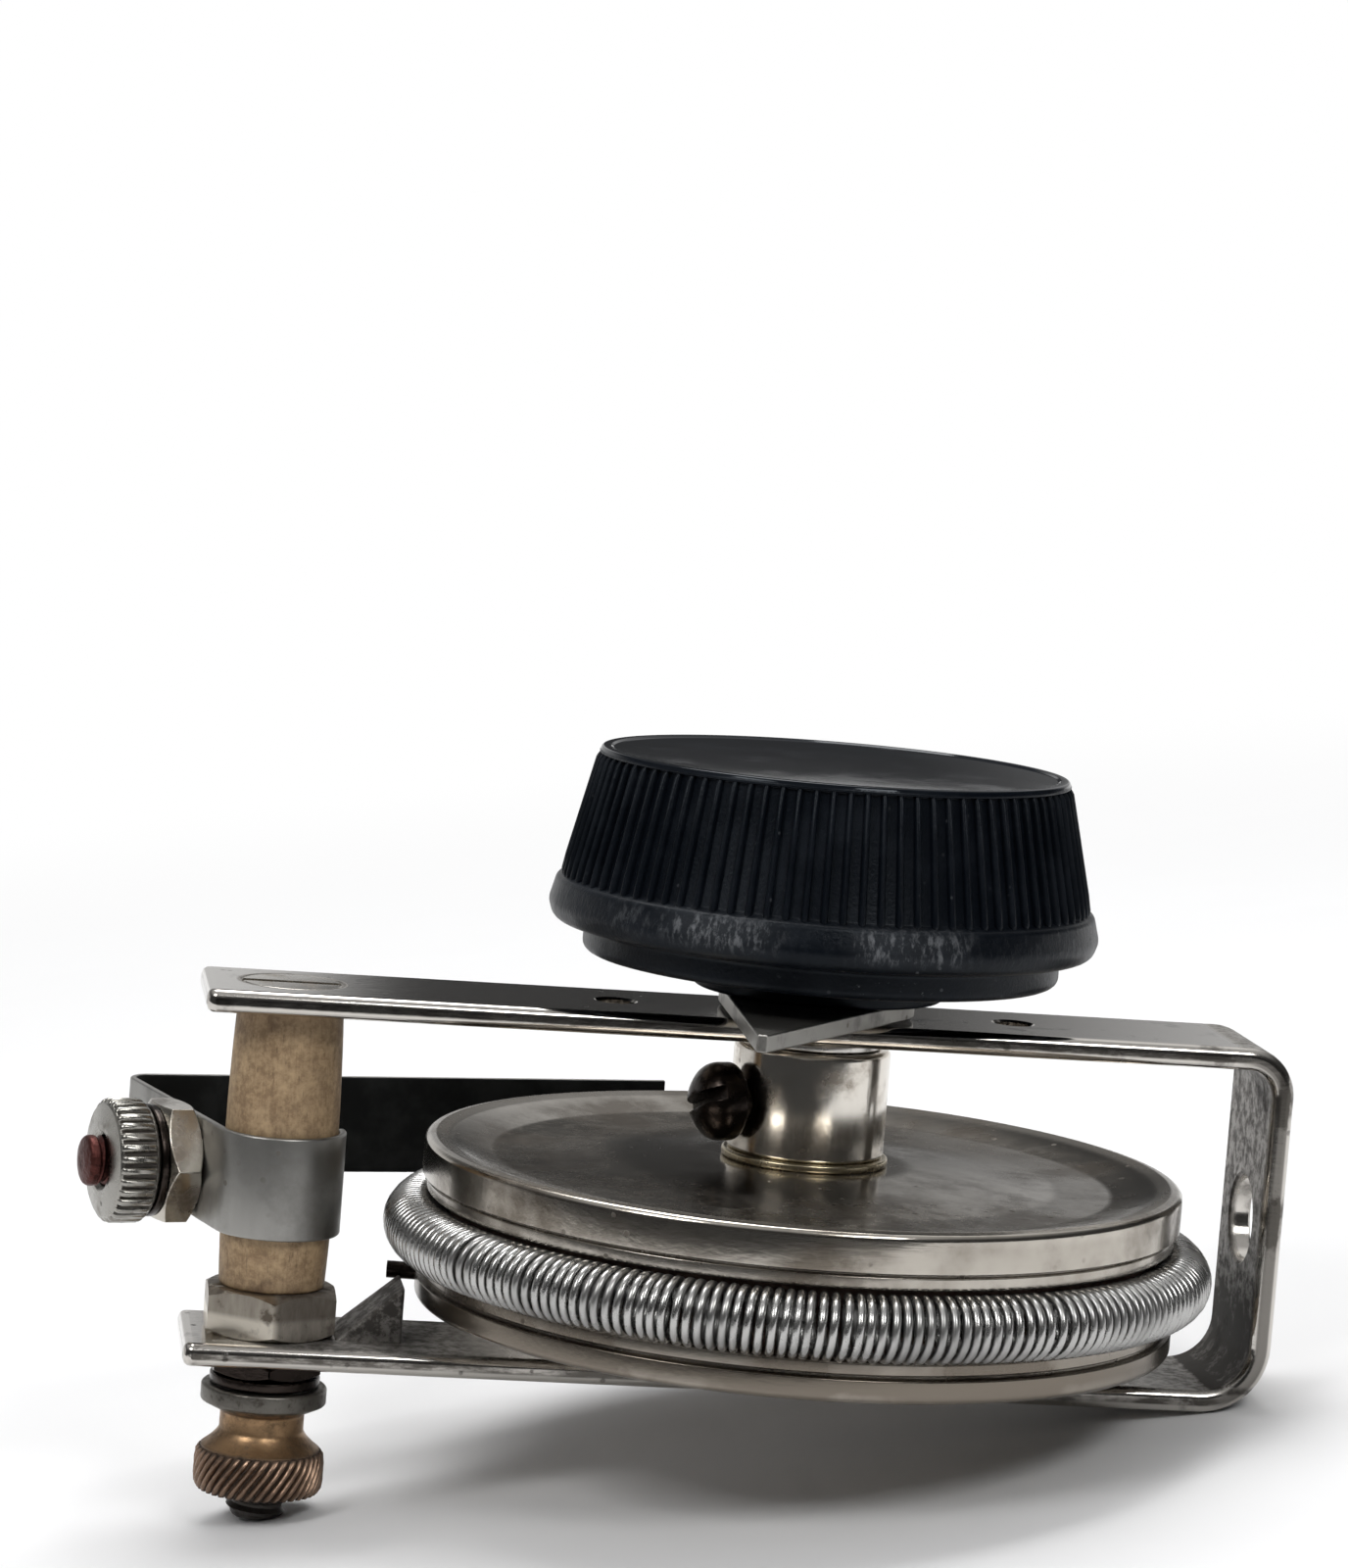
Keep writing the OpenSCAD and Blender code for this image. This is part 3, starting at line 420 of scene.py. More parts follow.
class Graph:
    """A node tree that is built in code."""

    def __init__(self, tree: bpy.types.NodeTree) -> None:
        """Takes an empty tree."""
        self.tree = tree

    def node(self, kind: str, settings: Settings | None = None,
             inputs: Inputs | None = None) -> bpy.types.Node:
        """Adds a node.

        Args:
            kind: Blender's type name for the node.
            settings: The node's properties, which are set first.
            inputs: Values or links by socket name or number.

        Returns:
            The node.
        """
        made = self.tree.nodes.new(kind)
        for name, setting in (settings or {}).items():
            setattr(made, name, setting)
        for key, given in (inputs or {}).items():
            self.feed(made.inputs[key], given)
        return made

    def feed(self, socket: bpy.types.NodeSocket, given: Any) -> None:
        """Links a value to a socket, or sets the socket to a plain number or colour.

        Args:
            socket: The socket that is fed.
            given: What it gets.
        """
        if isinstance(given, Value):
            self.tree.links.new(given.socket, socket)
        elif isinstance(given, tuple) and len(given) == 3 and socket.type == "RGBA":
            socket.default_value = (*given, 1.0)
        else:
            socket.default_value = given

    def value(self, kind: str, settings: Settings | None = None, inputs: Inputs | None = None,
              output: int | str = 0) -> Value:
        """Adds a node and wraps one of its outputs."""
        return Value(self, self.node(kind, settings, inputs).outputs[output])

    def vector(self, operation: str, *operands: Any, output: int | str = 0) -> Value:
        """Adds a Vector Math node and wraps one of its outputs."""
        inputs = dict(enumerate(operands))
        return self.value("ShaderNodeVectorMath", {"operation": operation}, inputs, output)

    def ramp(self, value: Value, low: float, high: float) -> Value:
        """Maps a range smoothly to 0 at its low end and 1 at its high end, clamped."""
        inputs = {"Value": value, "From Min": low, "From Max": high, "To Min": 0.0, "To Max": 1.0}
        return self.value("ShaderNodeMapRange", {"interpolation_type": "SMOOTHSTEP"}, inputs)

    def blend(self, factor: Value, first: Any, second: Any) -> Value:
        """Mixes two colours."""
        return self.value("ShaderNodeMix", {"data_type": "RGBA", "clamp_factor": True},
                          {0: factor, 6: first, 7: second}, output=2)


class Surface(Graph):
    """A material with one principled shader, patterned in object coordinates."""

    def __init__(self, name: str) -> None:
        """Starts the material.

        Args:
            name: Name of the material.
        """
        self.material = bpy.data.materials.new(name)
        self.material.use_nodes = True
        super().__init__(self.material.node_tree)
        self.tree.nodes.clear()
        self.shader = self.node("ShaderNodeBsdfPrincipled")
        self.output = self.node("ShaderNodeOutputMaterial")
        self.tree.links.new(self.shader.outputs[0], self.output.inputs["Surface"])
        self.place = self.value("ShaderNodeTexCoord", output="Object")
        split = self.node("ShaderNodeSeparateXYZ", inputs={0: self.place})
        self.x, self.y, self.z = (Value(self, socket) / MM for socket in split.outputs)

    def stretched(self, stretch: Triple) -> Value:
        """Object coordinates in millimetres, stretched by a factor along each axis."""
        scale = tuple(factor / MM for factor in stretch)
        return self.value("ShaderNodeMapping", {"vector_type": "POINT"},
                          {"Vector": self.place, "Scale": scale})

    def noise(self, size: float, detail: float = 3.0, roughness: float = 0.55,
              stretch: Triple = (1, 1, 1), distortion: float = 0.0) -> Value:
        """Cloudy noise."""
        inputs = {"Vector": self.stretched(stretch), "Scale": 1 / size, "Detail": detail,
                  "Roughness": roughness, "Distortion": distortion}
        return self.value("ShaderNodeTexNoise", {"noise_dimensions": "3D"}, inputs)

    def patches(self, size: float, low: float, high: float, detail: float = 3.0,
                roughness: float = 0.55, stretch: Triple = (1, 1, 1)) -> Value:
        """Cloudy patches: noise of a size, as a mask that rises between two of its levels."""
        return self.ramp(self.noise(size, detail, roughness, stretch), low, high)

    def specks(self, spacing: float, radius: float) -> Value:
        """Small round specks, scattered by cell noise."""
        distance = self.value("ShaderNodeTexVoronoi", {"feature": "F1"},
                              {"Vector": self.stretched((1, 1, 1)), "Scale": 1 / spacing})
        return self.ramp(distance, radius, radius * 0.6)

    def band(self, value: Value, low: float, high: float, soft: float) -> Value:
        """A mask that is 1 between two values, with soft borders."""
        return self.ramp(value, low - soft, low + soft) * self.ramp(value, high + soft, high - soft)

    def bump(self, height: Value, depth: float) -> Value:
        """A normal from a height."""
        inputs = {"Height": height, "Distance": depth * MM, "Strength": 1.0}
        return self.value("ShaderNodeBump", None, inputs)

    def finished(self, colour: Value, roughness: Value, metallic: Any, normal: Value | None = None,
                 constants: Settings | None = None) -> bpy.types.Material:
        """Feeds the shader.

        Args:
            colour: Base colour.
            roughness: Roughness.
            metallic: Metallic share, a value or a number.
            normal: Normal, if the surface has relief.
            constants: Plain values of other sockets.

        Returns:
            The material.
        """
        inputs = {"Base Color": colour, "Roughness": roughness, "Metallic": metallic, **(constants or {})}
        if normal is not None:
            inputs["Normal"] = normal
        for name, given in inputs.items():
            self.feed(self.shader.inputs[name], given)
        return self.material


@dataclass(frozen=True)
class Coat:
    """A material together with the record slot that it belongs to."""

    material: bpy.types.Material
    slot: str


@dataclass(frozen=True)
class Plate:
    """Nickel plate or bare metal with clouds of tarnish, specks and fine scratches."""

    slot: str
    bright: Colour
    dull: Colour
    # Colour of dirt, and of the painted shade that subclasses mix in
    grime_and_shade: Colour = (0.10, 0.075, 0.055)
    cloud_size: float = 5.0
    cloud_from: float = 0.50
    cloud_to: float = 0.74
    speck_spacing: float = 1.6
    speck_radius: float = 0.16
    polish: float = 0.09
    haze: float = 0.34
    scratch_depth: float = 0.006
    scratch_stretch: Triple = (0.12, 1, 1)
    dirt_and_shade_roughness: float = 0.25

    def dirt_and_painted_shade(self, surface: Surface) -> Value:
        """Where dirt gathers, and in subclasses painted shade; a plain plate has a little dirt everywhere.
        """
        return surface.patches(2.2, 0.66, 0.82, detail=6, roughness=0.7) * 0.6

    def tarnish_and_painted_light(self, surface: Surface) -> Any:
        """Where the metal is dull beyond its clouds, and in subclasses painted reflections and highlights;
        on a plain plate nowhere.
        """
        return 0.0

    def coat(self) -> Coat:
        """Builds the material.

        Returns:
            The coat.
        """
        surface = Surface(self.slot)
        clouds = surface.patches(self.cloud_size, self.cloud_from, self.cloud_to, detail=6, roughness=0.62)
        # Subclasses mix painted dark reflections and painted highlights into the clouds here
        clouds = (clouds + self.tarnish_and_painted_light(surface)).math("MINIMUM", 1.0)
        specks = surface.specks(self.speck_spacing, self.speck_radius)
        specks = specks * surface.patches(7.0, 0.45, 0.62, detail=2)
        # This mask carries dirt and, in subclasses, painted shade
        dirt_and_painted_shade = self.dirt_and_painted_shade(surface)
        grain = surface.noise(0.35, detail=2, stretch=self.scratch_stretch)
        colour = surface.blend(clouds * 0.95, self.bright, self.dull)
        colour = surface.blend(specks * 0.55, colour, self.grime_and_shade)
        colour = surface.blend(dirt_and_painted_shade, colour, self.grime_and_shade)
        roughness = self.polish + clouds * (self.haze - self.polish) + grain * 0.05 + specks * 0.2
        roughness = roughness + dirt_and_painted_shade * self.dirt_and_shade_roughness
        normal = surface.bump(grain + clouds * 0.4 - specks * 0.5, self.scratch_depth)
        return Coat(surface.finished(colour, roughness, 1 - dirt_and_painted_shade * 0.55, normal), self.slot)


@dataclass(frozen=True)
class BracketPlate(Plate):
    """Plate on the bent strip: mottled painted shade inside the web and round the tongue, and a painted
    dark reflection along the edges.
    """

    web_inner_x: float = 31.6
    tongue_x: float = -29.4
    half_w: float = 5.75
    head_r: float = 3.45
    web_low: Point = (-13.0, -21.0)
    corner_span: Point = (18.0, 30.0)
    foot_span: Point = (13.0, 4.0)

    def dirt_and_painted_shade(self, surface: Surface) -> Value:
        """Mottled painted shade inside the web, deepest low in its corner; painted shade on the lower arm
        under the drum and round the stop tongue; a painted shaded ring round the post screw's head; dirt in
        worn patches.

        Args:
            surface: The surface.

        Returns:
            The mask, from 0 to 1.
        """
        mottle = surface.patches(0.9, 0.40, 0.62, detail=7, roughness=0.74)
        patches = surface.patches(4.5, 0.42, 0.66, detail=4, roughness=0.6)
        # The web's inner face: mottled painted shade, deeper towards its lower corner
        web = surface.band(surface.x, self.web_inner_x - 2.6, self.web_inner_x + 0.25, 0.3)
        web = web * surface.ramp(self.half_w - surface.y.math("ABSOLUTE"), 0.2, 0.6)
        low = surface.ramp(surface.z, *self.web_low)
        above = surface.z - ARM_TOP_Z
        # Painted shade on the lower arm's top face, in the corner under the drum
        corner = surface.ramp(surface.x, *self.corner_span) * surface.band(above, -0.15, 0.3, 0.2)
        # Painted shadow of the drum round the stop tongue, a little deeper on the raised tongue
        foot = surface.ramp((surface.x - self.tongue_x).math("ABSOLUTE"), *self.foot_span)
        foot = foot * surface.ramp(above, 4.6, 3.6) * surface.ramp(above, -0.22, -0.04)
        inside = web * (0.46 + mottle * 0.34 + low * (0.34 + patches * 0.22))
        inside = inside + corner * (0.5 + mottle * 0.4)
        raised = foot * surface.ramp(above, 0.1, 0.5)
        worn = surface.patches(2.6, 0.63, 0.8, detail=6, roughness=0.7) * 0.45
        # A painted shaded ring in the gap round the post screw's head, added to the worn patches
        reach = (surface.x - POST_X).hypotenuse(surface.y)
        head = surface.band(reach, self.head_r, self.head_r + 0.3, 0.12)
        worn = worn + head * surface.ramp(surface.z, -1.0, -0.8) * (0.5 + patches * 0.4)
        return (inside + foot * (0.56 + mottle * 0.3) + raised * 0.2 + worn).math("MINIMUM", 0.96)

    def tarnish_and_painted_light(self, surface: Surface) -> Any:
        """A painted dark reflection: a streaky band along the middle of the strip's edges, and along the
        web's front edge.

        Args:
            surface: The surface.

        Returns:
            The mask, from 0 to 1.
        """
        streaks = surface.patches(0.7, 0.32, 0.6, detail=5, roughness=0.7, stretch=(0.25, 1, 1))
        depth = self.half_w - surface.y.math("ABSOLUTE")
        web = surface.ramp(surface.x, self.web_inner_x - 3.0, self.web_inner_x - 1.0)
        # Painted dark reflection along the edges, streaked
        edge = surface.ramp(depth, 0.03, 0.006) * (0.45 + streaks * 0.55)
        return edge * (1 - web) + web * surface.ramp(depth, 0.12, 0.02) * 0.8


@dataclass(frozen=True)
class DrumPlate(Plate):
    """Plate on the drum's shells: painted shade in the grooves, mottled dirt and painted shade in the dish,
    stained faces, and painted dark reflections along the walls.
    """

    rim_r: float = 26.35
    mid_z: float = -15.875
    crest_h: float = 5.625
    dish_span: Point = (13.5, 23.0)
    hub_span: Point = (9.5, 6.2)

    def dirt_and_painted_shade(self, surface: Surface) -> Value:
        """Mottled dirt and painted shade in the dish, mottled darkening round the hub, and painted shade
        inside the crest and in the groove above the lip.

        Args:
            surface: The surface.

        Returns:
            The mask, from 0 to 1.
        """
        radius = surface.x.hypotenuse(surface.y)
        mottle = surface.patches(1.4, 0.44, 0.72, detail=7, roughness=0.7)
        broad = surface.patches(7.5, 0.40, 0.66, detail=3)
        # Painted shade inside the crest and in the groove above the lip
        groove = surface.ramp(radius, self.rim_r - 0.25, self.rim_r - 0.55)
        groove = groove * surface.ramp(radius, self.rim_r - 2.2, self.rim_r - 1.2)
        # Mottled dirt and painted shade in the dish's trough
        dish = surface.band(radius, *self.dish_span, 1.6)
        hub = surface.ramp(radius, *self.hub_span)
        dirt_and_painted_shade = groove * 0.45 + dish * (0.12 + mottle * 0.34 + broad * 0.18) + hub * mottle * 0.35
        return dirt_and_painted_shade.math("MINIMUM", 0.9)

    def tarnish_and_painted_light(self, surface: Surface) -> Any:
        """Painted dark reflections on the upright walls, in a band, in patches and over the lower wall, and
        stains in patches on the faces.

        Args:
            surface: The surface.

        Returns:
            The mask, from 0 to 1.
        """
        radius = surface.x.hypotenuse(surface.y)
        # Painted dark reflections on the walls: a band across their middle, patches, and a darker lower
        # wall
        wall = surface.ramp(radius, self.rim_r - 0.6, self.rim_r - 0.2)
        depth = self.crest_h - (surface.z - self.mid_z).math("ABSOLUTE")
        band = surface.ramp(depth, 0.4, 1.1) * surface.ramp(depth, 3.0, 2.2)
        patches = surface.patches(8.0, 0.42, 0.60, detail=4)
        lower = surface.ramp(surface.z, self.mid_z - 1.0, self.mid_z - 3.0)
        face = surface.ramp(radius, self.rim_r - 2.0, self.rim_r - 3.4)
        stains = surface.patches(4.2, 0.38, 0.62, detail=7, roughness=0.68)
        return wall * (0.04 + band * 0.2 + patches * 0.34 + lower * 0.75) + face * (0.16 + stains * 0.5)


@dataclass(frozen=True)
class Wire:
    """Bare drawn resistance wire, grey, dulled in patches along the winding."""

    slot: str
    bright: Colour = (0.47, 0.467, 0.457)
    dull: Colour = (0.20, 0.198, 0.193)

    def coat(self) -> Coat:
        """Builds the material.

        Returns:
            The coat.
        """
        surface = Surface(self.slot)
        patches = surface.patches(6.0, 0.42, 0.68, detail=3)
        drawn = surface.noise(0.22, detail=2)
        oxide = surface.patches(0.9, 0.58, 0.78, detail=4, roughness=0.7)
        colour = surface.blend(patches * 0.5 + oxide * 0.4, self.bright, self.dull)
        roughness = 0.2 + patches * 0.12 + drawn * 0.1 + oxide * 0.14
        normal = surface.bump(drawn, 0.008)
        return Coat(surface.finished(colour, roughness, 0.98, normal), self.slot)


@dataclass(frozen=True)
class Resin:
    """Black moulded resin: polished on top, matt along its side, scuffed along the flared rim, with painted
    highlights among the scuffs at its front.
    """

    slot: str
    rim_z: float
    top_z: float
    black: Colour = (0.0028, 0.0042, 0.0068)
    faded: Colour = (0.0080, 0.0105, 0.0150)
    scuff_and_highlight: Colour = (0.26, 0.27, 0.285)
    # Spans along X at the front where the rim gets scuffs and painted highlights
    scuffs_and_highlights: tuple[Point, ...] = ((-12.5, -6.5), (-1.0, 6.5))

    def coat(self) -> Coat:
        """Builds the material.

        Returns:
            The coat.
        """
        surface = Surface(self.slot)
        clouds = surface.patches(4.0, 0.42, 0.72, detail=5, roughness=0.6)
        chips = surface.patches(0.55, 0.60, 0.72, detail=5, roughness=0.75)
        streaks = surface.patches(0.5, 0.46, 0.66, detail=5, roughness=0.7, stretch=(1, 1, 0.4))
        patches = surface.patches(5.0, 0.46, 0.62, detail=3)
        rim = surface.band(surface.z, self.rim_z - 0.1, self.rim_z + 1.8, 0.6)
        skirt = surface.band(surface.z, self.rim_z - 3.0, self.rim_z - 1.8, 0.4)
        dust = surface.specks(1.1, 0.14) * surface.patches(6.0, 0.5, 0.66, detail=2)
        top = surface.ramp(surface.z, self.top_z - 0.34, self.top_z - 0.18)
        pores = surface.noise(0.3, detail=3, roughness=0.7)
        # Scuffs along the rim, with painted highlights and scuffs in the front spans
        scuffs_and_highlights = patches * 0.3
        for low, high in self.scuffs_and_highlights:
            scuffs_and_highlights = scuffs_and_highlights + surface.band(surface.x, low, high, 1.6) * surface.ramp(surface.y, 0.0, -4.0)
        worn = rim * scuffs_and_highlights * (0.05 + streaks * 0.42) + skirt * patches * chips * 0.5
        worn = (worn + dust * 0.22 + chips * clouds * 0.04) * (1 - top * 0.8)
        colour = surface.blend(clouds * 0.6, self.black, self.faded)
        colour = surface.blend(worn, colour, self.scuff_and_highlight)
        side_roughness = 0.30 + clouds * 0.14 + pores * 0.1 - rim * 0.04
        roughness = side_roughness * (1 - top) + top * (0.06 + clouds * 0.05)
        normal = surface.bump(pores * (1 - top * 0.95) + streaks * rim * 0.5, 0.03)
        constants = {"IOR": 1.46, "Specular IOR Level": 0.17, "Specular Tint": (0.86, 0.93, 1.0)}
        return Coat(surface.finished(colour, roughness, 0.0, normal, constants), self.slot)


@dataclass(frozen=True)
class Wood:
    """Turned hardwood with fine fibres along Z, stained at its foot and darkened at its head by painted
    shadow under the arm.
    """

    slot: str
    foot_z: float
    head_z: float
    pale: Colour = (0.455, 0.322, 0.183)
    dark: Colour = (0.222, 0.142, 0.075)
    stain_and_shadow: Colour = (0.085, 0.05, 0.028)

    def coat(self) -> Coat:
        """Builds the material.

        Returns:
            The coat.
        """
        surface = Surface(self.slot)
        fibres = surface.noise(0.28, detail=4, roughness=0.65, stretch=(1, 1, 0.07))
        pores = surface.patches(0.16, 0.62, 0.74, detail=2, stretch=(1, 1, 0.12))
        bands = surface.noise(1.8, detail=3, stretch=(1, 1, 0.2), distortion=0.6)
        blotch = surface.patches(2.6, 0.5, 0.74, detail=5, roughness=0.65)
        # Painted shadow under the arm at the head, and a stain at the foot
        ends = surface.ramp(surface.z, self.head_z - 2.4, self.head_z - 0.2)
        ends = ends + surface.ramp(surface.z, self.foot_z + 1.8, self.foot_z + 0.1)
        fuzz = surface.noise(0.55, detail=6, roughness=0.72)
        broad = surface.noise(2.2, detail=5, roughness=0.65)
        tone = fibres * 0.14 + bands * 0.18 + fuzz * 0.36 + broad * 0.32
        colour = surface.blend(surface.ramp(tone, 0.38, 0.62), self.pale, self.dark)
        colour = surface.blend(pores * 0.35, colour, self.stain_and_shadow)
        colour = surface.blend(blotch * 0.3 + ends * (0.25 + blotch * 0.4), colour, self.stain_and_shadow)
        roughness = 0.52 + fibres * 0.22 - blotch * 0.08
        normal = surface.bump(fibres * 0.7 + pores * -0.5, 0.05)
        return Coat(surface.finished(colour, roughness, 0.0, normal), self.slot)


@dataclass(frozen=True)
class SpoolPlate(Plate):
    """The lower thumb nut: grey flange, orange-brown neck, browned knurl with painted shade in its grooves,
    soot in spots, and a painted shaded line under the flange.
    """

    neck: Colour = (0.345, 0.218, 0.118)
    knurl: Colour = (0.24, 0.162, 0.116)
    root_r: float = 4.1
    flange_z: float = -29.5
    knurl_z: float = -32.4

    def coat(self) -> Coat:
        """Builds the material.

        Returns:
            The coat.
        """
        surface = Surface(self.slot)
        patches = surface.patches(1.5, 0.42, 0.7, detail=5, roughness=0.7)
        grain = surface.noise(0.25, detail=3)
        soot = surface.patches(0.8, 0.48, 0.70, detail=6, roughness=0.78)
        radius = (surface.x - POST_X).hypotenuse(surface.y)
        flange = surface.ramp(surface.z + patches * 0.3, self.flange_z - 0.1, self.flange_z + 0.35)
        knurl = surface.ramp(surface.z, self.knurl_z + 0.25, self.knurl_z - 0.1)
        # Painted shade: a dark line under the flange's overhang, and in the knurl's grooves
        line = surface.band(surface.z, self.flange_z - 0.32, self.flange_z - 0.12, 0.12)
        groove = knurl * surface.ramp(radius, self.root_r + 0.24, self.root_r + 0.02)
        colour = surface.blend(patches * 0.8, self.neck, self.dull)
        colour = surface.blend(flange, colour, self.bright)
        colour = surface.blend(knurl * 0.95, colour, self.knurl)
        dark = (soot * (0.5 + flange * 0.35) + line * 0.5 + groove * 0.8).math("MINIMUM", 0.95)
        colour = surface.blend(dark, colour, self.grime_and_shade)
        roughness = 0.30 + patches * 0.14 + dark * 0.25 + grain * 0.1
        normal = surface.bump(grain + patches * 0.5, 0.012)
        return Coat(surface.finished(colour, roughness, 1 - dark * 0.5, normal), self.slot)


@dataclass(frozen=True)
class KnurlPlate(Plate):
    """The upper thumb nut: plate with painted shade in the grooves of its knurl, and a little dirt in
    spots.
    """

    centre: Triple = (0.0, 0.0, 0.0)
    axis: Triple = (0.0, 0.0, 1.0)
    root_r: float = 3.9
    knurl_from: float = 3.5
    knurl_to: float = 6.0

    def dirt_and_painted_shade(self, surface: Surface) -> Value:
        """Painted shade between the teeth, and a little dirt in spots, on the face too.

        Args:
            surface: The surface.

        Returns:
            The mask, from 0 to 1.
        """
        centre = tuple(length * MM for length in self.centre)
        offset = surface.vector("SUBTRACT", surface.place, centre)
        height = surface.vector("DOT_PRODUCT", offset, self.axis, output="Value") / MM
        reach = surface.vector("LENGTH", offset, output="Value") / MM
        radius = (reach * reach - height * height).math("SQRT")
        teeth = surface.band(height, self.knurl_from, self.knurl_to, 0.1)
        # Painted shade in the grooves between the teeth
        groove = teeth * surface.band(radius, self.root_r - 0.3, self.root_r + 0.13, 0.08)
        spots = surface.patches(0.9, 0.56, 0.76, detail=6, roughness=0.75)
        return (groove * 0.85 + spots * 0.3).math("MINIMUM", 0.92)


@dataclass(frozen=True)
class StudPlate(Plate):
    """The long screw: worn plate on its head, black below the lower arm."""

    black_z: float = -27.0

    def dirt_and_painted_shade(self, surface: Surface) -> Value:
        """Black oxide on the threaded end, and dirt in spots."""
        spots = surface.patches(0.9, 0.5, 0.76, detail=6, roughness=0.75) * 0.35
        return (surface.ramp(surface.z, self.black_z + 0.5, self.black_z) * 0.92
                + spots).math("MINIMUM", 0.96)


@dataclass(frozen=True)
class NutPlate(Plate):
    """Worn plate on the post's hex nut, with painted shade in dark brown on its right flank and a painted
    highlight at its foot.
    """

    bright_z: float = -22.9

    def dirt_and_painted_shade(self, surface: Surface) -> Value:
        """Painted shade in dark brown on the flank to the right, and dirt in spots.

        Args:
            surface: The surface.

        Returns:
            The mask, from 0 to 1.
        """
        spots = surface.patches(0.8, 0.60, 0.78, detail=6, roughness=0.7)
        streaks = surface.noise(0.4, detail=4, stretch=(1, 1, 0.3))
        # Painted shade on the right flank
        right = surface.ramp(surface.x - POST_X, -0.2, 0.5) * (0.58 + streaks * 0.3)
        return (spots * 0.4 + right).math("MINIMUM", 0.85)

    def tarnish_and_painted_light(self, surface: Surface) -> Any:
        """The nut is painted dark above its foot, which leaves a painted highlight at the foot."""
        streaks = surface.noise(0.5, detail=4, stretch=(1, 1, 0.2))
        # Painted highlight: everything above the foot is darkened
        return surface.ramp(surface.z, self.bright_z, self.bright_z + 0.5) * (0.40 + streaks * 0.5)


@dataclass(frozen=True)
class Fibre:
    """Dark vulcanised fibre, matt and slightly fuzzy."""

    slot: str
    base: Colour = (0.085, 0.05, 0.035)
    edge: Colour = (0.17, 0.11, 0.08)

    def coat(self) -> Coat:
        """Builds the material.

        Returns:
            The coat.
        """
        surface = Surface(self.slot)
        lint = surface.noise(0.5, detail=5, roughness=0.7)
        layers = surface.noise(0.4, detail=2, stretch=(0.1, 0.1, 1))
        colour = surface.blend(surface.ramp(lint * 0.5 + layers * 0.5, 0.4, 0.65), self.base, self.edge)
        return Coat(surface.finished(colour, 0.68 + lint * 0.2, 0.0, surface.bump(lint, 0.04)), self.slot)


class GeometryTree(Graph):
    """A geometry node tree with named inputs."""

    def __init__(self, name: str, inputs: Mapping[str, str]) -> None:
        """Makes the tree and its sockets.

        Args:
            name: Name of the tree.
            inputs: Socket types by input name.
        """
        super().__init__(bpy.data.node_groups.new(name, "GeometryNodeTree"))
        sockets = self.tree.interface
        self.ids: dict[str, str] = {}
        for label, kind in {"Geometry": "NodeSocketGeometry", **inputs}.items():
            self.ids[label] = sockets.new_socket(label, in_out="INPUT", socket_type=kind).identifier
        sockets.new_socket("Geometry", in_out="OUTPUT", socket_type="NodeSocketGeometry")
        self.entry = self.node("NodeGroupInput")

    def given(self, label: str) -> Value:
        """One of the tree's inputs."""
        return Value(self, self.entry.outputs[label])

    def closed(self, geometry: Value) -> None:
        """Ends the tree: realizes instances, shades smooth and sets the material.

        Args:
            geometry: What the tree has made.
        """
        real = self.value("GeometryNodeRealizeInstances", None, {"Geometry": geometry})
        smooth = self.value("GeometryNodeSetShadeSmooth", None, {"Geometry": real})
        inputs = {"Geometry": smooth, "Material": self.given("Material")}
        painted = self.value("GeometryNodeSetMaterial", None, inputs)
        self.node("NodeGroupOutput", None, {0: painted})

    def carried(self, geometry: Value) -> Value:
        """Lays geometry on the mesh that enters the tree.

        Args:
            geometry: What the tree has made.

        Returns:
            Both together.
        """
        union = self.node("GeometryNodeJoinGeometry")
        for part in (geometry, self.given("Geometry")):
            self.tree.links.new(part.socket, union.inputs[0])
        return Value(self, union.outputs[0])

    def run(self, start: bpy.types.Mesh, values: Mapping[str, Any]) -> Work:
        """Runs the tree on a mesh.

        Args:
            start: The mesh that enters the tree.
            values: Values of the inputs by name.

        Returns:
            The result as work.
        """
        holder = linked("holder", start)
        modifier = holder.modifiers.new(self.tree.name, "NODES")
        modifier.node_group = self.tree
        for label, given in values.items():
            modifier[self.ids[label]] = given
        made = Work(evaluated(holder))
        holder.modifiers.remove(modifier)
        bpy.data.objects.remove(holder)
        return made


class RingArrayTree(GeometryTree):
    """Sets copies of a tooth evenly round Z and lays them on the piece that carries them."""

    def __init__(self) -> None:
        """Builds the tree."""
        super().__init__("teeth_round_axis", {"Tooth": "NodeSocketObject", "Count": "NodeSocketInt",
                                              "Material": "NodeSocketMaterial"})
        count = self.given("Count")
        points = self.value("GeometryNodePoints", None, {"Count": count})
        tooth = self.node("GeometryNodeObjectInfo", {"transform_space": "ORIGINAL"},
                          {"Object": self.given("Tooth"), "As Instance": True}).outputs["Geometry"]
        angle = self.value("GeometryNodeInputIndex") * FULL_TURN / count
        euler = self.value("ShaderNodeCombineXYZ", None, {"Z": angle})
        turn = self.value("FunctionNodeEulerToRotation", None, {0: euler})
        copies = self.value("GeometryNodeInstanceOnPoints", None,
                            {"Points": points, "Instance": Value(self, tooth), "Rotation": turn})
        self.closed(self.carried(copies))

    def set_round(self, carrier: Work, tooth: Work, count: int, coat: Coat) -> Work:
        """Lays teeth on a carrier.

        Args:
            carrier: The piece without its teeth.
            tooth: One tooth in its place.
            count: Number of teeth.
            coat: Coat of the piece.

        Returns:
            The toothed work.
        """
        pattern = linked("tooth", tooth.mesh)
        made = self.run(carrier.mesh, {"Tooth": pattern, "Count": count, "Material": coat.material})
        bpy.data.objects.remove(pattern)
        return made


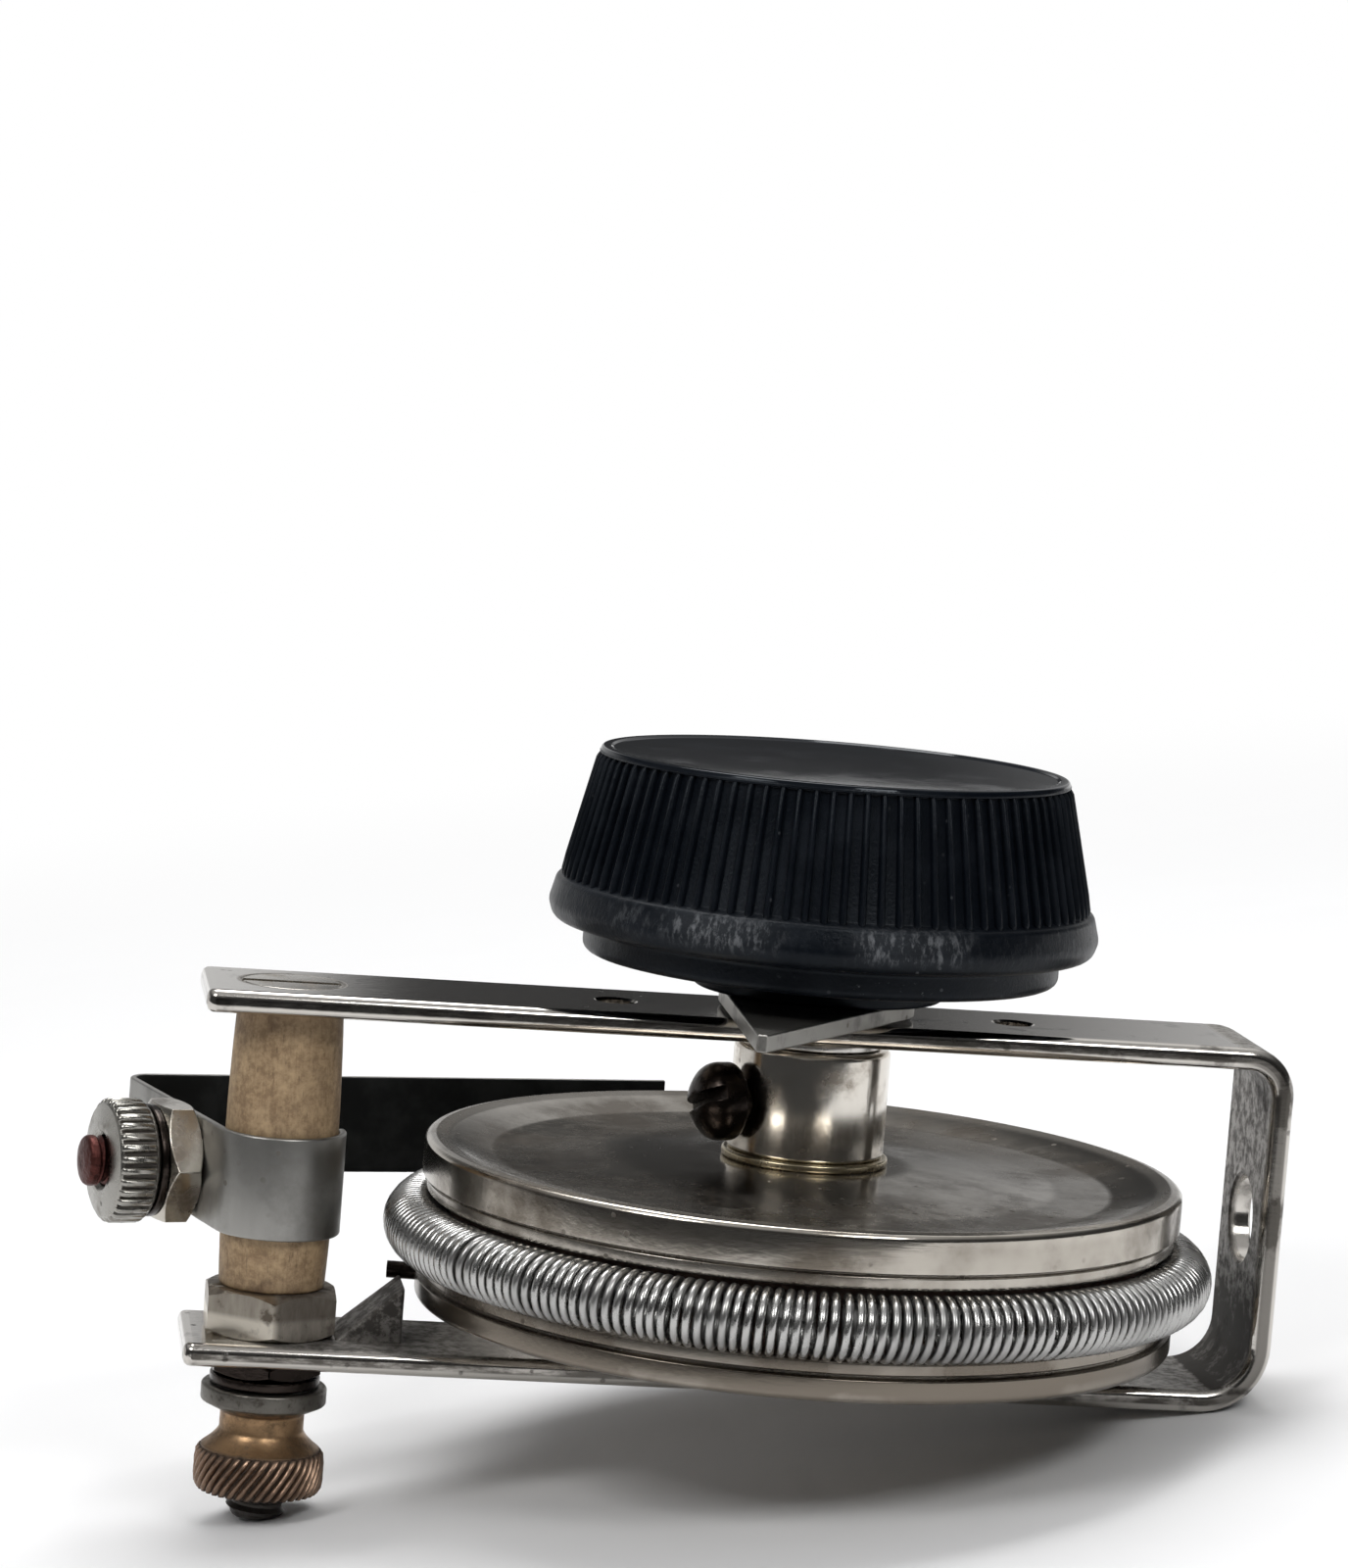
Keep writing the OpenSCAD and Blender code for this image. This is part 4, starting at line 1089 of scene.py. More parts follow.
class ThreadTree(GeometryTree):
    """Winds a sharp ridge up a stud along Z."""

    def __init__(self) -> None:
        """Builds the tree."""
        kinds = {label: "NodeSocketFloat" for label in ("Radius", "Ridge", "Turns", "Length")}
        kinds |= {"Bottom": "NodeSocketVector", "Material": "NodeSocketMaterial"}
        super().__init__("thread_on_stud", kinds)
        radius = self.given("Radius")
        helix = self.value("GeometryNodeCurveSpiral", None,
                           {"Resolution": 28, "Rotations": self.given("Turns"), "Start Radius": radius,
                            "End Radius": radius, "Height": self.given("Length")})
        upright = self.value("GeometryNodeSetCurveNormal", {"mode": "Z_UP"}, {"Curve": helix})
        ridge = self.value("GeometryNodeCurvePrimitiveCircle", None,
                           {"Resolution": 4, "Radius": self.given("Ridge")})
        thread = self.value("GeometryNodeCurveToMesh", None,
                            {"Curve": upright, "Profile Curve": ridge, "Fill Caps": True})
        moved = self.value("GeometryNodeTransform", None,
                           {"Geometry": thread, "Translation": self.given("Bottom")})
        self.closed(self.carried(moved))

    def wound(self, stud: Work, root_r: float, depth: float, pitch: float, bottom: float, length: float,
              coat: Coat) -> Work:
        """Winds a thread on a stud."""
        values = {"Radius": root_r, "Ridge": depth, "Turns": length / pitch, "Length": length,
                  "Bottom": (0.0, 0.0, bottom), "Material": coat.material}
        return self.run(stud.mesh, values)


class WindingTree(GeometryTree):
    """Coils a wire and bends the coil round the drum, with slightly uneven turns."""

    # Where turns have slipped apart: azimuth and gap, and how soon a gap opens, all in radians
    SLIPS = ((-1.075, 0.020), (-0.515, 0.026), (-2.62, 0.016))
    SLIP_WIDTH = 0.02
    # How fast the turns' drift changes along the winding, and how far it shifts and swells them
    DRIFT_RATE = 9.0
    DRIFT_SHIFT = 0.03
    DRIFT_SWELL = 0.12

    def __init__(self) -> None:
        """Builds the tree."""
        floats = ("Centre radius", "Coil radius", "Wire radius", "Height", "Start", "Sweep", "Unevenness")
        kinds = {label: "NodeSocketFloat" for label in floats}
        kinds |= {label: "NodeSocketInt" for label in ("Turns", "Steps", "Seed")}
        kinds["Material"] = "NodeSocketMaterial"
        super().__init__("coiled_wire_round_drum", kinds)
        steps = self.given("Steps")
        last = self.given("Turns") * steps
        line = self.value("GeometryNodeCurvePrimitiveLine")
        path = self.value("GeometryNodeResampleCurve", None, {"Curve": line, "Count": last + 1})
        index = self.value("GeometryNodeInputIndex")
        even = self.given("Start") + self.given("Sweep") * index / last
        drift = self.value("ShaderNodeTexNoise", {"noise_dimensions": "1D"},
                           {"W": even * self.DRIFT_RATE + self.given("Seed"), "Scale": 1.0, "Detail": 3.0})
        wander = (drift - 0.5) * self.given("Unevenness")
        azimuth = even + wander * self.DRIFT_SHIFT
        for place, gap in self.SLIPS:
            past = (even - (place + FULL_TURN)) / self.SLIP_WIDTH
            azimuth = azimuth + past.math("TANH") * (gap / 2)
        phase = index * FULL_TURN / steps + math.pi
        coil_r = self.given("Coil radius") + wander * self.DRIFT_SWELL
        reach = self.given("Centre radius") + coil_r * phase.math("COSINE")
        spot = self.value("ShaderNodeCombineXYZ", None,
                          {"X": reach * azimuth.math("COSINE"), "Y": reach * azimuth.math("SINE"),
                           "Z": self.given("Height") + self.given("Coil radius") * phase.math("SINE")})
        bent = self.value("GeometryNodeSetPosition", None, {"Geometry": path, "Position": spot})
        wire = self.value("GeometryNodeCurvePrimitiveCircle", None,
                          {"Resolution": 10, "Radius": self.given("Wire radius")})
        coil = self.value("GeometryNodeCurveToMesh", None,
                          {"Curve": bent, "Profile Curve": wire, "Fill Caps": True})
        self.closed(coil)


@dataclass
class Trees:
    """The geometry node trees that the sub-assemblies share."""

    teeth: RingArrayTree = field(default_factory=RingArrayTree)
    thread: ThreadTree = field(default_factory=ThreadTree)
    winding: WindingTree = field(default_factory=WindingTree)


class Finishes:
    """Every coat of the object, made once."""

    def __init__(self) -> None:
        """Builds the coats."""
        knob = Box.of("knob")
        post = Box.of("insulating_post")
        # The bracket's dull colour is near black because it also paints the dark reflection band along the
        # edges
        self.bracket = BracketPlate(
            "bracket_nickel", bright=(0.58, 0.553, 0.515), dull=(0.070, 0.064, 0.056),
            grime_and_shade=(0.026, 0.0215, 0.0175), cloud_from=0.56, haze=0.2, dirt_and_shade_roughness=0.6).coat()
        # The shells' dull colour also paints the dark reflections on the walls
        self.shell = DrumPlate(
            "shell_nickel", bright=(0.55, 0.515, 0.46), dull=(0.17, 0.146, 0.119),
            grime_and_shade=(0.052, 0.039, 0.029), cloud_size=9.0, cloud_from=0.42, cloud_to=0.74, polish=0.10,
            haze=0.22).coat()
        self.hub = Plate(
            "hub_nickel", bright=(0.72, 0.685, 0.625), dull=(0.40, 0.35, 0.295), cloud_size=2.4,
            cloud_from=0.46, polish=0.12, haze=0.28, scratch_stretch=(1, 1, 0.1)).coat()
        self.steel = Plate(
            "steel", bright=(0.62, 0.60, 0.57), dull=(0.36, 0.33, 0.30), polish=0.24, haze=0.45).coat()
        self.brass = Plate(
            "brass", bright=(0.40, 0.345, 0.235), dull=(0.22, 0.18, 0.12), polish=0.24, haze=0.4).coat()
        self.dark_steel = Plate(
            "blackened_steel", bright=(0.034, 0.027, 0.0235), dull=(0.014, 0.0115, 0.0105),
            grime_and_shade=(0.010, 0.008, 0.007), cloud_size=1.6, polish=0.22, haze=0.40,
            scratch_depth=0.02).coat()
        self.fibre = Fibre("fibre").coat()
        self.wire = Wire("resistance_wire").coat()
        self.resin = Resin("knob_black", rim_z=Knob.rim_z, top_z=knob.high.z).coat()
        self.pointer = Plate(
            "pointer_metal", bright=(0.34, 0.332, 0.31), dull=(0.20, 0.195, 0.185), cloud_size=3.0,
            polish=0.36, haze=0.5).coat()
        self.wood = Wood("post_wood", foot_z=post.low.z, head_z=post.high.z).coat()
        self.screw = StudPlate(
            "screw_metal", bright=(0.60, 0.57, 0.52), dull=(0.30, 0.25, 0.20),
            grime_and_shade=(0.016, 0.012, 0.010), cloud_size=2.0, polish=0.2, haze=0.4).coat()
        # The nut's bright colour paints the highlight at its foot
        self.nut = NutPlate(
            "nut_worn", bright=(0.78, 0.72, 0.62), dull=(0.13, 0.105, 0.082),
            grime_and_shade=(0.045, 0.033, 0.024), cloud_size=2.2, cloud_from=0.54, cloud_to=0.76, polish=0.28,
            haze=0.36).coat()
        self.ear_nut = Plate(
            "nut_worn", bright=(0.47, 0.44, 0.385), dull=(0.17, 0.145, 0.12), cloud_size=2.4,
            cloud_from=0.44, cloud_to=0.7, polish=0.15, haze=0.3).coat()
        self.spool = SpoolPlate(
            "thumb_nut_brass", bright=(0.145, 0.137, 0.122), dull=(0.16, 0.108, 0.064),
            grime_and_shade=(0.030, 0.021, 0.015)).coat()
        self.spring = Plate(
            "spring_metal", bright=(0.33, 0.323, 0.306), dull=(0.22, 0.215, 0.203), cloud_size=4.0,
            cloud_from=0.40, polish=0.36, haze=0.46, scratch_stretch=(1, 1, 0.06)).coat()
        self.stud = Plate(
            "screw_copper", bright=(0.085, 0.030, 0.026), dull=(0.034, 0.0145, 0.013),
            grime_and_shade=(0.018, 0.010, 0.009), cloud_size=0.9, polish=0.42, haze=0.6,
            scratch_depth=0.09).coat()
        axis = Ear().axis
        self.thumb = KnurlPlate(
            "thumb_nut_nickel", bright=(0.31, 0.30, 0.275), dull=(0.18, 0.16, 0.138),
            grime_and_shade=(0.050, 0.040, 0.033), cloud_size=2.0, polish=0.24, haze=0.42,
            centre=tuple(axis.translation), axis=tuple(axis.col[2][:3])).coat()
        self.spring_inside = self.blackened()

    @staticmethod
    def blackened() -> Coat:
        """The dark inner face of the spring strip.

        Returns:
            The coat.
        """
        surface = Surface("spring_inside")
        clouds = surface.noise(3.0, detail=5, roughness=0.6)
        black, worn = (0.006, 0.0066, 0.0066), (0.016, 0.017, 0.0166)
        colour = surface.blend(surface.ramp(clouds, 0.4, 0.7), black, worn)
        normal = surface.bump(clouds, 0.01)
        constants = {"Specular IOR Level": 0.2}
        return Coat(surface.finished(colour, 0.36 + clouds * 0.2, 0.3, normal, constants), "spring_metal")


def turned_ring(inner_r: float, outer_r: float, low: float, high: float, edge_r: float) -> Work:
    """A flat ring about Z with rounded edges."""
    places = ((inner_r, low), (outer_r, low), (outer_r, high), (inner_r, high))
    return Work.turned(rounded([(r, z, edge_r) for r, z in places], steps=4), segments=96, ring=True)


def hex_nut(across_flats: float, height: float, bore_r: float) -> Work:
    """A hex nut from z = 0 upwards, with two flats across X and its corners turned off at both ends.

    Args:
        across_flats: Width across the flats.
        height: Height of the nut.
        bore_r: Radius of the bore.

    Returns:
        The nut.
    """
    corner_r = across_flats / math.sqrt(3)
    face_r = across_flats / 2 - 0.1
    chamfer = 0.6 * (corner_r - face_r)
    angles = [math.radians(30 + 60 * step) for step in range(6)]
    nut = Work.extruded([(corner_r * math.cos(a), corner_r * math.sin(a)) for a in angles], -1, height + 1)
    blank = [(0, 0), (face_r, 0), (corner_r, chamfer),
             (corner_r, height - chamfer), (face_r, height), (0, height)]
    nut.joined(Work.turned(blank, segments=120), Join.KEEP)
    mouth = 0.25
    hole = [(0, -1), (bore_r + mouth + 1, -1), (bore_r, mouth), (bore_r, height - mouth),
            (bore_r + mouth + 1, height + 1), (0, height + 1)]
    nut.joined(Work.turned(hole, segments=64), Join.CUT)
    return nut.bevelled(0.12, angle_deg=28)


@dataclass(frozen=True)
class Tooth:
    """One tooth of a knurl, at azimuth 0, which fades out at both ends of the knurl."""

    # How far the carrying body and the tooth's foot lie below the grooves, and the shoulder below the crest
    BODY_INSET = 0.05
    FOOT_INSET = 0.12
    SHOULDER = 0.1

    crest_r: float
    depth: float
    count: int
    fill: float
    flank: float
    crown: float
    ends: tuple[Point, ...]
    slant_deg: float = 0.0

    @property
    def root_r(self) -> float:
        """Radius of the turned body that carries the teeth."""
        return self.crest_r - self.depth - self.BODY_INSET

    def between(self, low: float, height: float) -> Work:
        """Shapes the tooth.

        Args:
            low: Height of the knurl's lower end.
            height: Height of the knurl.

        Returns:
            The tooth.
        """
        base = self.crest_r - self.depth - self.FOOT_INSET
        half = self.fill * FULL_TURN / self.count * base
        rise = self.depth + self.FOOT_INSET - self.SHOULDER
        stations = []
        for share, full in self.ends:
            turn = Matrix.Rotation(math.radians(self.slant_deg) * (0.5 - share), 3, "Z")
            shoulder = base + rise * full
            crest = shoulder + self.SHOULDER
            flank = [(base, half), (shoulder, half * self.flank), (crest, half * self.crown)]
            outline = [(radius, -side) for radius, side in flank] + flank[::-1]
            place = Vector((0, 0, low + height * share))
            stations.append((place, turn @ Vector((1, 0, 0)), turn @ Vector((0, 1, 0)), outline))
        return Work.swept(stations)


def set_back(radius: float, depth: float) -> float:
    """How far a quarter round lies behind its sharp corner, at a depth from the tip."""
    into = max(radius - depth, 0)
    return radius - math.sqrt(radius ** 2 - into ** 2)


@dataclass
class Assembly:
    """A sub-assembly, with the finishes and the node trees that its pieces share."""

    coats: Finishes
    trees: Trees


@dataclass
class Bracket(Assembly):
    """The nickel-plated strip, bent to a U, with its holes and its raised stop tongue."""

    box: Box = boxed("bracket")
    drum: Box = boxed("lower_shell")
    thickness: float = 1.6
    edge_r: float = 0.66
    end_round: float = 0.5
    corner_round: float = 0.7
    upper_bend_r: float = 3.4
    lower_bend_r: float = 4.8
    bend_steps: int = 14
    shaft_hole_r: float = 3.225
    journal_hole_r: float = 2.43
    panel_half_spacing: float = 14.0
    panel_hole_r: float = 1.35
    web_hole_r: float = 3.1
    post_hole_r: float = 2.105
    post_head_r: float = 3.47
    hole_flare: float = 0.16
    tongue_w: float = 5.0
    tongue_l: float = 4.6
    tongue_rise: float = 3.9
    tongue_gap: float = 0.95
    tongue_wall: float = 1.0
    tongue_round: float = 0.3

    def station(self, x: float, z: float, normal: Vector, inset: float = 0.0,
                narrow: float = 0.0) -> Section:
        """One section of the strip.

        Args:
            x: Place along X, at mid-thickness.
            z: Place along Z, at mid-thickness.
            normal: Direction out of the U.
            inset: How much thinner the section is on each face.
            narrow: How much narrower it is on each side.

        Returns:
            The section's place, axes and outline.
        """
        width = self.box.size.y - 2 * narrow
        thickness = self.thickness - 2 * inset
        outline = rectangle(width, thickness, min(self.edge_r, thickness / 2 - 0.02))
        return (Vector((x, 0, z)), Vector((0, 1, 0)), normal, outline)

    def end_stations(self, z: float, normal: Vector) -> list[Section]:
        """The rounded free end of an arm, from the tip inwards."""
        depths = [self.corner_round * share for share in (0.0, 0.2, 0.5, 0.85, 1.0)]
        return [self.station(self.box.low.x + depth, z, normal, set_back(self.end_round, depth),
                             set_back(self.corner_round, depth)) for depth in depths]

    def bend(self, radius: float, centre_z: float, start_deg: float) -> list[Section]:
        """A quarter bend of the strip.

        Args:
            radius: Outer radius of the bend.
            centre_z: Height of the bend's centre.
            start_deg: Direction of the normal where the bend starts.

        Returns:
            The sections.
        """
        made = []
        centre_x = self.box.high.x - radius
        mid_r = radius - self.thickness / 2
        for step in range(self.bend_steps + 1):
            angle = math.radians(start_deg - 90 * step / self.bend_steps)
            normal = Vector((math.cos(angle), 0, math.sin(angle)))
            made.append(self.station(centre_x + mid_r * normal.x, centre_z + mid_r * normal.z, normal))
        return made

    def hole(self, x: float, radius: float, top: float) -> Work:
        """A drill with flared ends for an arm's hole.

        Args:
            x: Place of the hole along X.
            radius: Radius of the hole.
            top: Upper face of the arm.

        Returns:
            The drill.
        """
        wide = radius + self.hole_flare
        bottom = top - self.thickness
        profile = [(0, bottom - 1), (wide, bottom - 1), (wide, bottom), (radius, bottom + self.hole_flare),
                   (radius, top - self.hole_flare), (wide, top), (wide, top + 1), (0, top + 1)]
        return Work.turned(profile, segments=72).placed(Matrix.Translation((x, 0, 0)))

    def countersink(self) -> Work:
        """The drill for the post screw's flush head.

        Returns:
            The drill.
        """
        reach = self.post_head_r - self.post_hole_r
        wide = self.post_head_r + self.hole_flare * 0.6
        below = -self.thickness - 1
        profile = [(0, below), (self.post_hole_r, below), (self.post_hole_r, -reach),
                   (self.post_head_r, -0.1), (wide, 0), (wide, 1), (0, 1)]
        return Work.turned(profile, segments=72).placed(Matrix.Translation((POST_X, 0, 0)))

    def tongue(self, width: float, drop: float, foot: float) -> Work:
        """The ramp of the stop tongue.

        Args:
            width: Width along Y.
            drop: How far the ramp lies below its true height.
            foot: Height of its underside.

        Returns:
            The ramp.
        """
        arm_top = self.box.low.z + self.thickness
        tip_x = -self.drum.radius - self.tongue_gap
        outline = [(tip_x - self.tongue_l, arm_top - drop), (tip_x, arm_top + self.tongue_rise - drop),
                   (tip_x, foot), (tip_x - self.tongue_l, foot)]
        return Work.extruded(outline, -width / 2, width / 2).placed(Matrix.Rotation(math.pi / 2, 4, "X"))

    def build(self) -> None:
        """Bends the strip, raises the tongue, drills the holes and hands the piece over."""
        up = Vector((0, 0, 1))
        half = self.thickness / 2
        low_mid = self.box.low.z + half
        stations = self.end_stations(-half, up)
        stations += self.bend(self.upper_bend_r, -self.upper_bend_r, 90)
        stations += self.bend(self.lower_bend_r, self.box.low.z + self.lower_bend_r, 0)
        stations += reversed(self.end_stations(low_mid, -up))
        strip = Work.swept(stations)
        arm_top = self.box.low.z + self.thickness
        ramp = self.tongue(self.tongue_w, 0, arm_top - half).bevelled(self.tongue_round)
        strip.joined(ramp, Join.ADD)
        hollow_w = self.tongue_w - 2 * self.tongue_wall
        strip.joined(self.tongue(hollow_w, self.thickness, self.box.low.z - 1), Join.CUT)
        holes = [(side * self.panel_half_spacing, self.panel_hole_r, 0) for side in (-1, 1)]
        holes += [(0, self.shaft_hole_r, 0), (0, self.journal_hole_r, arm_top),
                  (POST_X, self.post_hole_r, arm_top)]
        for x, radius, top in holes:
            strip.joined(self.hole(x, radius, top), Join.CUT)
        strip.joined(self.countersink(), Join.CUT)
        side_hole = self.hole(0, self.web_hole_r, 0).placed(Matrix.Rotation(math.pi / 2, 4, "Y"))
        at_web = Matrix.Translation((self.box.high.x, 0, self.box.centre.z))
        strip.joined(side_hole.placed(at_web), Join.CUT)
        strip.piece("bracket_strip", Body.FRAME, self.coats.bracket, "bracket", smooth_deg=40,
                    weighted=True)


@dataclass
class Drum(Assembly):
    """The two pressed shells that hold the winding, its fibre core, its end rivets and the stop pin."""

    upper: Box = boxed("upper_shell")
    lower: Box = boxed("lower_shell")
    bore_r: float = 4.02
    flat_r: float = 7.3
    flat_drop: float = 0.1
    sheet: float = 0.7
    dish_in_r: float = 17.5
    dish_out_r: float = 21.5
    dish_depth: float = 0.85
    crest_r: float = 0.9
    lip_step: float = 0.35
    lip_h: float = 0.85
    groove: float = 0.3
    rim_wall: float = 1.25

    def section(self, height: float) -> list[Point]:
        """Section of a shell as radius and depth below its crest.

        Args:
            height: Crest to lip.

        Returns:
            The section's closed outline.
        """
        rim = self.upper.radius
        lip = rim - self.lip_step
        inner = rim - self.rim_wall
        under = self.dish_depth + self.sheet
        corners = [(self.bore_r, self.flat_drop, 0), (self.flat_r, self.flat_drop, 14),
                   (self.dish_in_r, self.dish_depth, 9), (self.dish_out_r, self.dish_depth, 2.5),
                   (rim - 1.8, 0.12, 0.7), (rim - 0.8, -0.06, 0.6), (rim, 0.1, self.crest_r),
                   (rim, height - self.lip_h - self.groove, 0.12),
                   (lip - self.groove, height - self.lip_h - self.groove / 2, 0.05),
                   (lip, height - self.lip_h, 0.12), (lip, height, 0.22), (inner, height, 0.2),
                   (inner, self.sheet + 0.4, 0.3), (inner - 0.5, self.sheet + 0.12, 0.2),
                   (self.dish_out_r, under, 3), (self.dish_in_r, under, 8),
                   (self.flat_r, self.flat_drop + self.sheet, 6),
                   (self.bore_r, self.flat_drop + self.sheet, 0)]
        return rounded(corners, steps=7)

    def build(self) -> None:
        """Turns both shells and dresses the core, the rivets and the pin."""
        upper = [(r, self.upper.high.z - depth) for r, depth in self.section(self.upper.size.z)]
        lower = [(r, self.lower.low.z + depth) for r, depth in self.section(self.lower.size.z)]
        for node, profile in (("upper_shell", upper), ("lower_shell", lower)):
            shell = Work.turned(profile, segments=192, ring=True)
            shell.piece(f"drum_{node}", Body.ROTOR, self.coats.shell, node)
        dress_node("insulating_ring", self.coats.fibre)
        dress_node("coil_end_rivets", self.coats.brass)
        dress_node("stop_pin", self.coats.dark_steel)


@dataclass
class Winding(Assembly):
    """The coiled resistance wire that lies in the drum's channel."""

    turns: int = 215
    steps: int = 26
    wire_d: float = 0.59
    coil_d: float = 4.5
    radius: float = 28.85
    height: float = -16.4
    gap_deg: float = 16.0
    contact_deg: float = 104.0
    unevenness: float = 0.5
    seed: int = 7

    def build(self) -> None:
        """Winds the wire."""
        values = {"Turns": self.turns, "Steps": self.steps, "Seed": self.seed,
                  "Wire radius": self.wire_d / 2, "Coil radius": (self.coil_d - self.wire_d) / 2,
                  "Centre radius": self.radius - self.coil_d / 2, "Height": self.height,
                  "Start": math.radians(self.contact_deg + self.gap_deg / 2),
                  "Sweep": math.radians(360 - self.gap_deg), "Unevenness": self.unevenness,
                  "Material": self.coats.wire.material}
        coil = self.trees.winding.run(bpy.data.meshes.new("start"), values)
        coil.piece("winding_wire", Body.ROTOR, self.coats.wire, "resistance_coil", smooth_deg=60)


@dataclass
class Hub(Assembly):
    """Shaft, collar, clamp screw and the washers that the drum turns on."""

    shaft: Box = boxed("shaft")
    collar: Box = boxed("hub")
    ring: Box = boxed("hub_washer")
    shaft_r: float = 3.175
    journal_r: float = 2.38
    collar_r: float = 5.45
    spigot_r: float = 4.0
    rivet_r: float = 4.9
    rivet_h: float = 0.55
    screw_deg: float = 200.0
    screw_z: float = -6.225
    screw_head_r: float = 2.7
    screw_head_h: float = 2.9
    screw_from: float = 6.05
    screw_shank_r: float = 1.45
    slot_w: float = 0.95
    slot_depth: float = 1.2
    slot_turn_deg: float = 25.0

    def build(self) -> None:
        """Turns the pieces and hands them over."""
        bore = self.shaft_r + CLOSE_FIT
        low, high = self.collar.low.z, self.collar.high.z
        foot = self.ring.high.z
        rivet_top = low + self.rivet_h
        corners = [(bore, high, 0.2), (self.collar_r, high, 0.45), (self.collar_r, foot, 0.3),
                   (self.spigot_r, foot, 0.05), (self.spigot_r, rivet_top, 0.05),
                   (self.rivet_r, rivet_top, 0.15), (self.rivet_r - 0.2, low, 0.3), (bore, low, 0.15)]
        collar = Work.turned(rounded(corners), segments=128, ring=True)
        collar.piece("hub_collar", Body.ROTOR, self.coats.hub, "hub")
        brass, steel = self.coats.brass, self.coats.steel
        rings = (("hub_brass_ring", "hub_washer", self.spigot_r + CLOSE_FIT, 0.2, brass),
                 ("hub_friction_washer", "friction_washer", self.shaft_r + FREE_FIT, 0.12, steel),
                 ("drum_spacer", "thrust_spacer", bore, 0.2, brass))
        for name, node, inner_r, edge_r, coat in rings:
            box = Box.of(node)
            ring = turned_ring(inner_r, box.radius, box.low.z, box.high.z, edge_r)
            ring.piece(name, Body.ROTOR, coat, node)
        shoulder = ARM_TOP_Z + FREE_FIT
        end, head = self.shaft.low.z, self.shaft.high.z
        corners = [(0, end, 0), (self.journal_r, end, 0.25), (self.journal_r, shoulder, 0.05),
                   (self.shaft_r, shoulder, 0.15), (self.shaft_r, head, 0.4), (0, head, 0)]
        shaft = Work.turned(rounded(corners, closed=False), segments=96)
        shaft.piece("control_shaft", Body.ROTOR, steel, "shaft")
        self.clamp_screw().piece("hub_clamp_screw", Body.ROTOR, self.coats.dark_steel, "hub_screw")

    def clamp_screw(self) -> Work:
        """The round-headed screw that clamps the collar on the shaft.

        Returns:
            The screw, in its place.
        """
        head = self.screw_head_h
        root = self.shaft_r + CLOSE_FIT - self.screw_from
        corners = [(0, root, 0), (self.screw_shank_r, root, 0.1), (self.screw_shank_r, 0, 0.15),
                   (self.screw_head_r, 0, 0.35), (self.screw_head_r, head * 0.62, 1.5),
                   (self.screw_head_r * 0.5, head, 2.2), (0, head, 0)]
        screw = Work.turned(rounded(corners, closed=False, steps=8), segments=72)
        slot = rectangle(self.slot_w, 4 * self.screw_head_r, 0.1)
        saw = Work.extruded(slot, head - self.slot_depth, head + 1)
        screw.joined(saw, Join.CUT).bevelled(0.1, segments=2, angle_deg=40)
        screw.placed(Matrix.Rotation(math.radians(self.slot_turn_deg), 4, "Z"))
        screw.placed(Matrix.Translation((0, 0, self.screw_from)))
        return screw.placed(outwards(self.screw_deg, self.screw_z))


def outwards(angle_deg: float, height: float) -> Matrix:
    """Turns +Z to point away from the shaft, along an angle in plan and at a height."""
    turn = Matrix.Rotation(math.radians(angle_deg), 4, "Z") @ Matrix.Rotation(math.pi / 2, 4, "Y")
    return Matrix.Translation((0, 0, height)) @ turn


